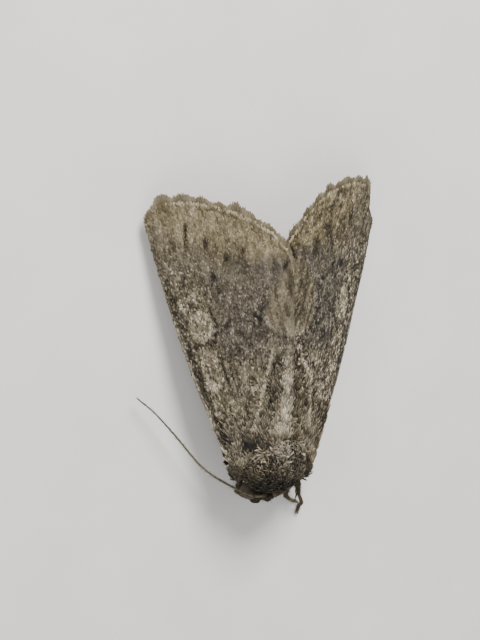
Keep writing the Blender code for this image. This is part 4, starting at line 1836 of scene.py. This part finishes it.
@dataclass(frozen=True)
class Head:
    """The rounded head with flat cheeks that carry the eyes, each in a bare rim, in mm."""

    radii: Triple = (1.40, 0.78, 1.20)
    coat: float = 0.20
    cheek: float = 0.93
    eye_radii: Triple = (0.60, 0.64, 0.72)
    eye_place: Triple = (0.94, -2.32, 1.80)
    rim: float = 0.06

    def axis(self, places: Array) -> Array:
        """The middle, for each place."""
        return np.broadcast_to(HEAD_CENTRE, places.shape)

    def surface(self, along: Array, around: Array) -> Array:
        """An ellipsoid about the Y axis, cut flat on both sides.

        Args:
            along: Share from back to front.
            around: Share of the way round.

        Returns:
            Places in mm.
        """
        turn, angle = np.pi * along, 2 * np.pi * around
        x, y, z = (radius - self.coat for radius in self.radii)
        place = together(x * np.sin(turn) * np.cos(angle), y * np.cos(turn), z * np.sin(turn) * np.sin(angle))
        place[..., 0] = np.clip(place[..., 0], -self.cheek, self.cheek)
        return place + HEAD_CENTRE

    def clear_of_eyes(self, places: Array) -> Array:
        """1 for places on the head, 0 where an eye lies."""
        x, y, z = np.moveaxis(places, -1, 0)
        reach = np.hypot((y - self.eye_place[1]) / (self.eye_radii[1] + self.rim),
                         (z - self.eye_place[2]) / (self.eye_radii[2] + self.rim))
        return np.where((reach < 1) & (np.abs(x) - self.eye_place[0] > -0.25), 0.0, 1.0)

    def eye(self, side: Side) -> Form:
        """An ellipsoid set into the cheek."""
        place, radii = mirrored((self.eye_place, self.eye_radii), side)
        return Ball(place, radii).form(40, 56, 0.02)


PALP_POINTS = ((0.40, -2.70, 0.95), (0.50, -2.98, 0.98), (0.47, -3.11, 1.26), (0.43, -3.13, 1.60),
               (0.39, -3.07, 1.92))
FEELER_POINTS = {
    Side.RIGHT: ((-0.35, -2.36, 2.75), (-0.52, -2.34, 3.16), (-1.35, -2.26, 2.95), (-3.20, -1.20, 2.35),
                 (-4.60, 0.00, 1.95), (-6.15, 2.10, 1.52), (-7.50, 3.80, 1.22), (-8.65, 4.90, 0.85)),
    Side.LEFT: ((0.35, -2.38, 2.75), (0.50, -2.38, 3.14), (1.40, -2.20, 2.95), (2.80, -1.10, 2.40),
                (3.22, 0.60, 2.35), (3.50, 2.40, 2.35), (3.95, 4.80, 2.10), (4.55, 7.40, 1.65)),
}

# blotches on the back: place x and y, size in mm, and what each adds to the tone
BLOTCHES = ((-0.95, 0.6, 0.36, -0.25), (0.2, 1.1, 0.30, -0.22), (1.0, 0.4, 0.46, -0.25),
            (-0.45, 1.05, 0.40, 0.26),
            (1.15, 1.35, 0.36, 0.17), (0.1, 2.0, 0.6, 0.05), (-0.3, -0.8, 0.9, -0.10), (-1.7, 0.7, 0.5, 0.08))


def body_marks(places: Array) -> Array:
    """Tone and warmth of the body, the same for skin and coat.

    The thorax is dark and blotched, paler behind, with a near black head. The darkening
    towards the front of the thorax and the head's near black are painted shade, where the
    front lies in shade. The abdomen is a plain fawn with darker rings.

    Args:
        places: Places in mm, n by 3.

    Returns:
        Tone and warmth, n by 2.
    """
    x, y, z = np.moveaxis(places, -1, 0)
    blotch = noise(places, 0.8, 71) * 0.05 + noise(places, 0.35, 72) * 0.07
    back = smoothstep(2.2, 4.0, z)
    # painted shade: the thorax darkens towards its front, which lies in shade
    thorax = (0.30 + blotch + 0.09 * smoothstep(-0.3, 1.6, y) - 0.12 * smoothstep(0.1, -1.4, y)
              - 0.03 * (1 - back))
    for u, v, size, depth in BLOTCHES:
        thorax += depth * bell(np.hypot(x - u, y - v), 0, size) * back
    # painted shade: the head's near black tone stands for the shade it lies in, under the collar
    head = 0.17 + 0.5 * blotch + 0.06 * smoothstep(1.6, 1.0, z)
    ringed = ((y - 2.3) * 8 / 9.1) % 1
    abdomen = 0.44 + 0.4 * blotch - 0.08 * bell(ringed, 0.0, 0.2) + 0.06 * smoothstep(10.8, 12.0, y)
    tone = thorax + (head - thorax) * smoothstep(-1.55, -1.85, y) * smoothstep(3.5, 2.9, z)
    tone = tone + (abdomen - tone) * smoothstep(2.2, 2.7, y)
    warmth = (0.3 + 0.45 * smoothstep(2.2, 2.8, y) + 0.2 * noise(places, 1.1, 73)
              + 0.35 * smoothstep(-1.3, -1.9, y))
    return together(tone, np.clip(warmth, 0, 1))


def leg_marks(places: Array) -> Array:
    """Tone and warmth of the legs: dark brown, paler under and in rings on the feet."""
    x, y, z = np.moveaxis(places, -1, 0)
    rings = bell((np.hypot(x, y) * 1.7) % 1, 0.5, 0.16)
    low = smoothstep(0.55, 0.3, z)
    return together(0.27 + 0.07 * noise(places, 0.3, 75) + low * (0.05 + 0.16 * rings), 0.7)


def lie_back(place: Array, ahead: Array, out: Array) -> Array:
    """The lie of the thorax coat: backwards, and out level over the wing roots."""
    x, y = place[..., :1], place[..., 1:2]
    away = np.sign(x) * smoothstep(0.3, 1.2, np.abs(x))
    level = np.array((0, 1.0, 0.0)) + np.array((0.25, 0, 0.0)) * away + 0.75 * sway(place, 0.7, 81)
    return level + (0, 0, 0.12) * smoothstep(0.2, 1.0, y)


def lie_under(place: Array, ahead: Array, out: Array) -> Array:
    """The lie of the underside hairs: backwards and a little down."""
    return np.array((0, 1.0, -0.15)) + 0.3 * sway(place, 0.6, 85)


def lie_forward(place: Array, ahead: Array, out: Array) -> Array:
    """The lie of the head coat: forwards on the crown, down on the face."""
    front = smoothstep(-2.2, -2.8, place[..., 1:2])
    crown, face = np.array((0, -1.0, 0.25)), np.array((0, -0.35, -1.0))
    return crown * (1 - front) + face * front + 0.25 * sway(place, 0.4, 88)


def lie_spread(place: Array, ahead: Array, out: Array) -> Array:
    """The lie of the end tuft: backwards and apart."""
    return np.array((0, 1.0, 0)) + 0.10 * out + (place - np.array((0, 11, 1.8))) * (0.12, 0, 0.08)


def fuse(form: Form, voxel: float) -> Form:
    """Lays one closed surface round overlapping shapes, by a voxel remesh.

    Args:
        form: The shapes.
        voxel: Size of a voxel in mm.

    Returns:
        The surface, in triangles.
    """
    mesh = bpy.data.meshes.new("body core")
    mesh.from_pydata(form.points.tolist(), [], form.faces.tolist())
    core = put("body core", mesh)
    remesh = core.modifiers.new("one skin", "REMESH")
    remesh.mode, remesh.voxel_size, remesh.adaptivity = "VOXEL", voxel, 0.0
    relax = core.modifiers.new("relax", "SMOOTH")
    relax.factor, relax.iterations = 0.5, 2
    shape = core.evaluated_get(bpy.context.evaluated_depsgraph_get()).to_mesh()
    shape.calc_loop_triangles()
    points = np.empty(len(shape.vertices) * 3)
    shape.vertices.foreach_get("co", points)
    faces = np.empty(len(shape.loop_triangles) * 3, dtype=np.int32)
    shape.loop_triangles.foreach_get("vertices", faces)
    bpy.data.objects.remove(core)
    return Form(points.reshape(-1, 3), faces.reshape(-1, 3)).outward()


@dataclass
class Body:
    """The one skin over trunk, head, palps and legs, with its coat. Voxels of this size fuse it."""

    thorax: Thorax = THORAX
    head: Head = Head()
    abdomen: Abdomen = Abdomen()
    voxel: float = 0.06

    def palp(self, side: Side) -> Tube:
        """An upturned palp that starts inside the face."""
        return Tube.through(mirrored(PALP_POINTS, side), (0.20, 0.20, 0.24, 0.22, 0.13), pole=(1.0, 0.0, 0.0))

    def closed_forms(self) -> list[Form]:
        """All closed shapes that the skin runs over."""
        grids = ((self.thorax, (60, 96)), (self.head, (40, 64, 0.03, 0.97)), (self.abdomen, (140, 64)))
        forms = [ring_form(shape.surface(*ring_shares(*grid))) for shape, grid in grids]
        forms += [ball.form() for ball in FILLERS]
        for side in Side:
            forms += [self.palp(side).form(30, 14), SHOULDERS[side].form()]
        return forms + [form for leg in LEGS for form in leg.forms()]

    def skin(self) -> Form:
        """The fused skin, a little darker than its coat. The legs' marks begin further out and low."""
        fused = fuse(join(self.closed_forms()), self.voxel)
        place = fused.points
        body, leg = body_marks(place), leg_marks(place)
        trunk_half = np.where(place[:, 1] > 2.3, 1.95, 0.9)
        on_leg = (smoothstep(1.35, 1.1, place[:, 2]) * self.thorax.outside(place, -0.2)
                  * smoothstep(0.0, 0.2, np.abs(place[:, 0]) - trunk_half))[:, None]
        told = body + (leg - body) * on_leg
        fused.marks = together(told[:, 0] - 0.05, told[:, 1], 0.5)
        return fused

    def trunk_coat(self, rng: np.random.Generator) -> Form:
        """Three layers on the thorax: close scales, broad locks and fine hairs.

        Behind the middle they leave the falling skin and run out level over the wing roots.

        Args:
            rng: Source of chance.

        Returns:
            The coat of thorax and shoulder plates.
        """
        skin = Skin(self.thorax, body_marks)

        def upper(place: Array) -> Array:
            """1 on the upper side."""
            return smoothstep(0.9, 1.6, place[..., 2])

        def longer_behind(place: Array) -> Array:
            """Share of full size, which grows backwards."""
            return 0.72 + 0.45 * smoothstep(-0.6, 1.1, place[..., 1]) + 0.15 * bell(place[..., 1], -1.6, 0.3)

        scales = Coat(SHIELD, 3400, (0.42, 0.17, 0.03), 0.16, bend=0.10, turn=0.25, speckle=0.05, paling=0.0)
        locks = Coat(LOCK, 6300, (0.66, 0.092, 0.052), 0.42, bend=0.30, turn=0.60, speckle=0.20, paling=0.55)
        hairs = Coat(HAIR, 2400, (0.62, 0.045, 0.035), 0.50, bend=0.32, turn=0.70, speckle=0.28, paling=0.45)
        spots = cells(7)
        forms = [skin.grow(scales, rng, lie_back, spots[0])]
        forms += [skin.grow(coat, rng, lie_back, spot, upper, scale=longer_behind)
                  for coat, spot in zip((locks, hairs), spots[1:])]
        plate_coats = (
            Coat(SHIELD, 520, (0.26, 0.11, 0.025), 0.12, bend=0.1, turn=0.2, speckle=0.06, paling=0.05),
            Coat(LOCK, 330, (0.55, 0.09, 0.05), 0.16, bend=0.2, turn=0.25, speckle=0.10, paling=0.20))
        for side in Side:
            plate = Skin(SHOULDERS[side], lambda p: body_marks(p) - (0.02, 0))
            own = spots[3 + 2 * (side is Side.LEFT):]
            forms += [plate.grow(coat, rng, lie_back, spot) for coat, spot in zip(plate_coats, own)]
        whole = join(forms)
        high = whole.points[:, 2]
        whole.points[:, 2] = np.minimum(high, CROWN + 0.45 * (high - CROWN))
        return whole

    def under_coat(self, rng: np.random.Generator) -> Form:
        """Long soft hairs under the thorax, and short ones on the coxae.

        Args:
            rng: Source of chance.

        Returns:
            The hairs.
        """
        spots = cells(1 + len(LEGS))
        long = Coat(HAIR, 2300, (0.80, 0.075, 0.05), 0.25, bend=0.18, turn=0.3, speckle=0.08, paling=0.12)
        short = Coat(HAIR, 260, (0.42, 0.07, 0.04), 0.2, bend=0.12, turn=0.25, speckle=0.07, paling=0.1)
        forms = [Skin(self.thorax, body_marks).grow(long, rng, lie_under, spots[0],
                                                    lambda p: smoothstep(2.6, 1.8, p[..., 2]) * 2.0)]
        forms += [Skin(leg.coxa(), body_marks).grow(short, rng, cell=spot)
                  for leg, spot in zip(LEGS, spots[1:])]
        return join(forms)

    def head_coat(self, rng: np.random.Generator) -> Form:
        """Tufts on crown and face, scales behind the eyes, and scaled palps.

        Args:
            rng: Source of chance.

        Returns:
            The coat of head and palps.
        """
        skin, spots = Skin(self.head, body_marks), cells(5)
        coats = (
            Coat(SHIELD, 1600, (0.26, 0.12, 0.025), 0.2, bend=0.1, turn=0.3, speckle=0.06, paling=0.06),
            Coat(LOCK, 1300, (0.42, 0.08, 0.04), 0.5, bend=0.25, turn=0.3, speckle=0.08, paling=0.12),
            Coat(HAIR, 500, (0.50, 0.04, 0.03), 0.6, bend=0.25, turn=0.3, speckle=0.08, paling=0.16))
        forms = [skin.grow(coat, rng, lie_forward, spot, self.head.clear_of_eyes)
                 for coat, spot in zip(coats, spots)]
        scale = Coat(SHIELD, 620, (0.24, 0.11, 0.02), 0.25, bend=0.1, turn=0.2, speckle=0.08, paling=0.1)
        for side, spot in zip(Side, spots[3:]):
            palp = Skin(self.palp(side), lambda p: body_marks(p) + (0.0, 0.1))
            forms.append(palp.grow(scale, rng, cell=spot, span=((0.12, 0.97), (0, 1))))
        return join(forms)

    def abdomen_coat(self, rng: np.random.Generator) -> Form:
        """Close scales in rings, soft hairs over them and the spreading end tuft.

        Args:
            rng: Source of chance.

        Returns:
            The coat of the abdomen.
        """
        skin = Skin(self.abdomen, body_marks)
        scales = Coat(SHIELD, 5600, (0.42, 0.20, 0.03), 0.12, bend=0.08, turn=0.2, speckle=0.06, paling=0.06)
        hairs = Coat(HAIR, 1900, (0.70, 0.05, 0.035), 0.22, bend=0.14, turn=0.25, speckle=0.07, paling=0.12)
        tail = Coat(LOCK, 800, (1.9, 0.11, 0.05), 0.05, bend=0.10, turn=0.10, speckle=0.08, paling=0.14)
        layers = ((scales, None, (0.0, 0.99)), (hairs, None, (0.02, 0.95)), (tail, lie_spread, (0.90, 0.985)))
        return join([skin.grow(coat, rng, lie, spot, span=(stretch, (0, 1)))
                     for (coat, lie, stretch), spot in zip(layers, cells(3))])

    def leg_coat(self, rng: np.random.Generator) -> Form:
        """Small scales on every leg joint, and hairs along femur and tibia.

        Args:
            rng: Source of chance.

        Returns:
            The coat of all legs, with nothing below the ground.
        """
        sizes = {"femur": (0.28, 0.12), "tibia": (0.24, 0.10), "tarsus": (0.17, 0.08)}
        overlap, hairs_per_mm = 0.30, 55
        spots = cells(5 * len(LEGS))
        forms = []
        for k, leg in enumerate(LEGS):
            for j, (part, tube) in enumerate(leg.parts().items()):
                reach = np.linalg.norm(np.diff(tube.path, axis=0), axis=1).sum()
                length, width = sizes[part]
                count = int(reach * tube.radii.mean() * 2 * math.pi / (length * width * overlap))
                skin = Skin(tube, leg_marks)
                scales = Coat(SHIELD, count, (length, width, 0.022), 0.14, bend=0.08, turn=0.15, speckle=0.07)
                forms.append(skin.grow(scales, rng, cell=spots[5 * k + j]))
                if part != "tarsus":
                    hairs = Coat(HAIR, int(reach * hairs_per_mm), (0.42, 0.040, 0.028), 0.40, bend=0.2,
                                 turn=0.25, speckle=0.08, paling=0.14)
                    forms.append(skin.grow(hairs, rng, cell=spots[5 * k + 3 + j]))
        whole = join(forms)
        whole.points[:, 2] = np.maximum(whole.points[:, 2], 0)
        return whole

    def tongue(self) -> Form:
        """A ridged tube coiled two and a half times in the middle plane."""
        turn = np.linspace(0, 2.6, 150)
        radius = 0.29 - 0.092 * turn
        angle = 2 * np.pi * turn + 2.2
        path = together(0.03 * np.sin(turn * 3), -3.20 - radius * np.cos(angle),
                        0.92 + radius * np.sin(angle))
        ridged = (0.070 - 0.016 * turn) * (1 + 0.06 * np.sin(turn * 150))
        return Tube(path, ridged, pole=(1.0, 0.0, 0.0), flatten=1.2).form(150, 10)

    def build(self, shop: Workshop) -> None:
        """Makes the skin, its coats, eyes, tongue and claws.

        Args:
            shop: Takes the pieces.
        """
        legs = [f"{leg.name}_{leg.side.label}_{part}" for leg in LEGS for part in leg.parts()]
        paired = [f"{part}_{side.label}" for part in ("tegula", "palp") for side in Side]
        flesh = ["thorax", "collar", "head", "abdomen", "anal_tuft", *legs, *paired]
        shop.add("body_skin", self.skin(), shop.finishes.skin, "body", flesh)
        coats = (("thorax_coat", self.trunk_coat, "body"), ("underside_hairs", self.under_coat, "body"),
                 ("head_coat", self.head_coat, "head"), ("abdomen_coat", self.abdomen_coat, "tuft"),
                 ("leg_scales", self.leg_coat, "leg"))
        for k, (name, grow, slot) in enumerate(coats):
            shop.add(name, grow(np.random.default_rng(300 + k)), shop.finishes.hairs, slot, smooth=False)
        for side in Side:
            shop.add(f"{side.label}_compound_eye", self.head.eye(side), shop.finishes.eye, "eye",
                     [f"eye_{side.label}"])
        shop.add("coiled_tongue", self.tongue(), shop.finishes.tongue, "tongue", ["proboscis"])
        shop.add("claws_and_spurs", join([form for leg in LEGS for form in leg.horn()]), shop.finishes.horn,
                 "leg")


@dataclass
class Feeler:
    """A jointed thread on a thick first joint, with scales above and bristles below."""

    side: Side
    joints: int = 72
    radii: Pair = (0.075, 0.036)
    bands: float = 0.34

    def thread(self) -> Tube:
        """The tube, with five stations for each joint. A joint widens a little to its end."""
        table = smooth_path(np.array(FEELER_POINTS[self.side]), 60)
        step = np.concatenate([[0], np.cumsum(np.linalg.norm(np.diff(table, axis=0), axis=1))])
        even = np.linspace(0, step[-1], self.joints * 5 + 1)
        path = np.stack([np.interp(even, step, column) for column in table.T], -1)
        share = even / step[-1]
        radius = self.radii[0] + (self.radii[1] - self.radii[0]) * share
        first_joint = 0.09 * bell(even, 0.35, 0.28)
        return Tube(path, radius * (0.86 + 0.26 * ((share * self.joints) % 1)) + first_joint)

    def marks(self, places: Array) -> Array:
        """Tone and warmth: pale and dark joints by turns, darker to the tip."""
        reach = np.linalg.norm(places - np.array(FEELER_POINTS[self.side][0]), axis=-1)
        return together(0.44 + 0.07 * np.cos(reach * 2 * np.pi / self.bands) - 0.010 * reach, 0.6)

    def build(self, shop: Workshop) -> None:
        """Makes the thread and its scales.

        Args:
            shop: Takes the pieces.
        """
        rng = np.random.default_rng(500 + self.side.value)
        tube = self.thread()
        form = tube.form(len(tube.path), 10)
        tone, warmth = self.marks(form.points).T
        form.marks = together(tone, warmth, 0.5)
        name = f"antenna_{self.side.label}"
        shop.add(f"{name}_thread", form, shop.finishes.skin, "antenna", [name])
        skin, spots = Skin(tube, self.marks), cells(2)
        scales = Coat(SHIELD, 1400, (0.14, 0.055, 0.008), 0.07, bend=0.05, turn=0.12, speckle=0.08,
                      paling=0.06)
        bristles = Coat(HAIR, 420, (0.13, 0.018, 0.012), 1.2, bend=0.3, turn=0.3, speckle=0.06, paling=0.1)
        coat = join([skin.grow(scales, rng, cell=spots[0], span=((0.01, 0.98), (0.0, 0.5))),
                     skin.grow(bristles, rng, cell=spots[1], span=((0.05, 0.99), (0.5, 1.0)))])
        shop.add(f"{name}_scales", coat, shop.finishes.hairs, "antenna", smooth=False)


# ---------------------------------------------------------------- studio


@dataclass(frozen=True)
class Studio:
    """A pale floor, soft lamps and the camera.

    Attributes:
        back: From the insect towards the camera.
        right: Towards the right of the view.
        aim: The point that the camera keeps, in mm in the insect's frame.
        distance: From that point to the camera, in mm.
        lens: Focal length in mm on a sensor 24 mm high.
        shift: Shift of the view, as shares of its longer side.
        reach: Half the floor's width in metres.
        lamps: For each its direction towards right, top and back of the view, its distance and
            diameter in metres and its power in watts.
    """

    back: Triple = (-0.397, 0.2813, 0.8736)
    right: Triple = (0.911, 0.005, 0.413)
    aim: Triple = (0.0, 6.0, 3.5)
    distance: float = 110.0
    lens: float = 62.7
    shift: Pair = (-0.0518, 0.0890)
    reach: float = 0.6
    lamps: tuple[tuple[Triple, float, float, float], ...] = (
        ((0.36, 0.66, 0.80), 0.26, 0.10, 1.25),
        ((-0.75, 0.1, 0.7), 0.30, 0.30, 0.42),
        ((0.1, -0.8, 0.6), 0.32, 0.30, 0.30),
    )

    def build(self, shift: Array) -> None:
        """Places floor, lamps, world and camera.

        Args:
            shift: From the insect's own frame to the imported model's, in mm.
        """
        back = unit(np.array(self.back))
        right = unit(np.array(self.right) - back * (np.array(self.right) @ back))
        axes = np.array([right, np.cross(back, right), back])
        aim = (np.array(self.aim) + shift) * MM
        self.lay_floor()
        for k, (view, far, size, energy) in enumerate(self.lamps):
            lamp = bpy.data.lights.new(f"soft lamp {k}", "AREA")
            lamp.shape, lamp.size, lamp.energy = "DISK", size, energy
            holder, direction = put(lamp.name, lamp), unit(np.array(view) @ axes)
            holder.location = aim + direction * far
            holder.rotation_euler = Vector(direction).to_track_quat("Z", "Y").to_euler()
        world = bpy.data.worlds.new("soft room")
        world.use_nodes = True
        sky = world.node_tree.nodes["Background"]
        NodeSketch(world.node_tree).feed(sky, Color=(0.93, 0.96, 1.0, 1.0), Strength=0.55)
        bpy.context.scene.world = world
        camera = bpy.data.cameras.new("camera")
        camera.sensor_fit, camera.sensor_width, camera.sensor_height = "VERTICAL", 18.0, 24.0
        camera.lens = self.lens
        camera.shift_x, camera.shift_y = self.shift
        camera.clip_start, camera.clip_end = 0.002, 10.0
        holder = put("camera", camera)
        turn = Matrix(axes.T.tolist()).to_4x4()
        holder.matrix_world = Matrix.Translation(aim + back * self.distance * MM) @ turn
        bpy.context.scene.camera = holder

    def lay_floor(self) -> None:
        """Lays a wide pale floor with a faint plaster mottle."""
        mesh = bpy.data.meshes.new("floor")
        corners = [(x * self.reach, y * self.reach, 0) for x, y in ((-1, -1), (1, -1), (1, 1), (-1, 1))]
        mesh.from_pydata(corners, [], [(0, 1, 2, 3)])
        material, sketch, shader = new_material("pale floor")
        cloud = sketch.cloud(Vector=sketch.place(), Scale=120.0, Detail=4.0)
        mottle = sketch.ramp(cloud, [(0.3, (0.70, 0.68, 0.64)), (0.7, (0.76, 0.74, 0.70))])
        sketch.feed(shader, Base_Color=mottle, Roughness=0.8)
        mesh.materials.append(material)
        put("floor", mesh)


def main() -> None:
    """Builds the moth piece by piece."""
    logging.basicConfig(level=logging.INFO, format="%(name)s: %(message)s")
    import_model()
    low, high = (np.array(corner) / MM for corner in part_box("head"))
    shift = np.array([(low[0] + high[0]) / 2 - HEAD_CENTRE[0], (low[1] + high[1]) / 2 - HEAD_CENTRE[1], 0.0])
    shop = Workshop(Finishes(), shift)
    for pose in WING_POSES:
        Wing(FORE_CUTS[pose.side], pose, drop=0.13, fore=True).build(shop)
        Wing(HIND_CUT, pose, drop=0.85, fore=False, rows=(0.15, 0.16)).build(shop)
    Body().build(shop)
    for side in Side:
        Feeler(side).build(shop)
    Studio().build(shift)


if __name__ == "__main__":
    main()
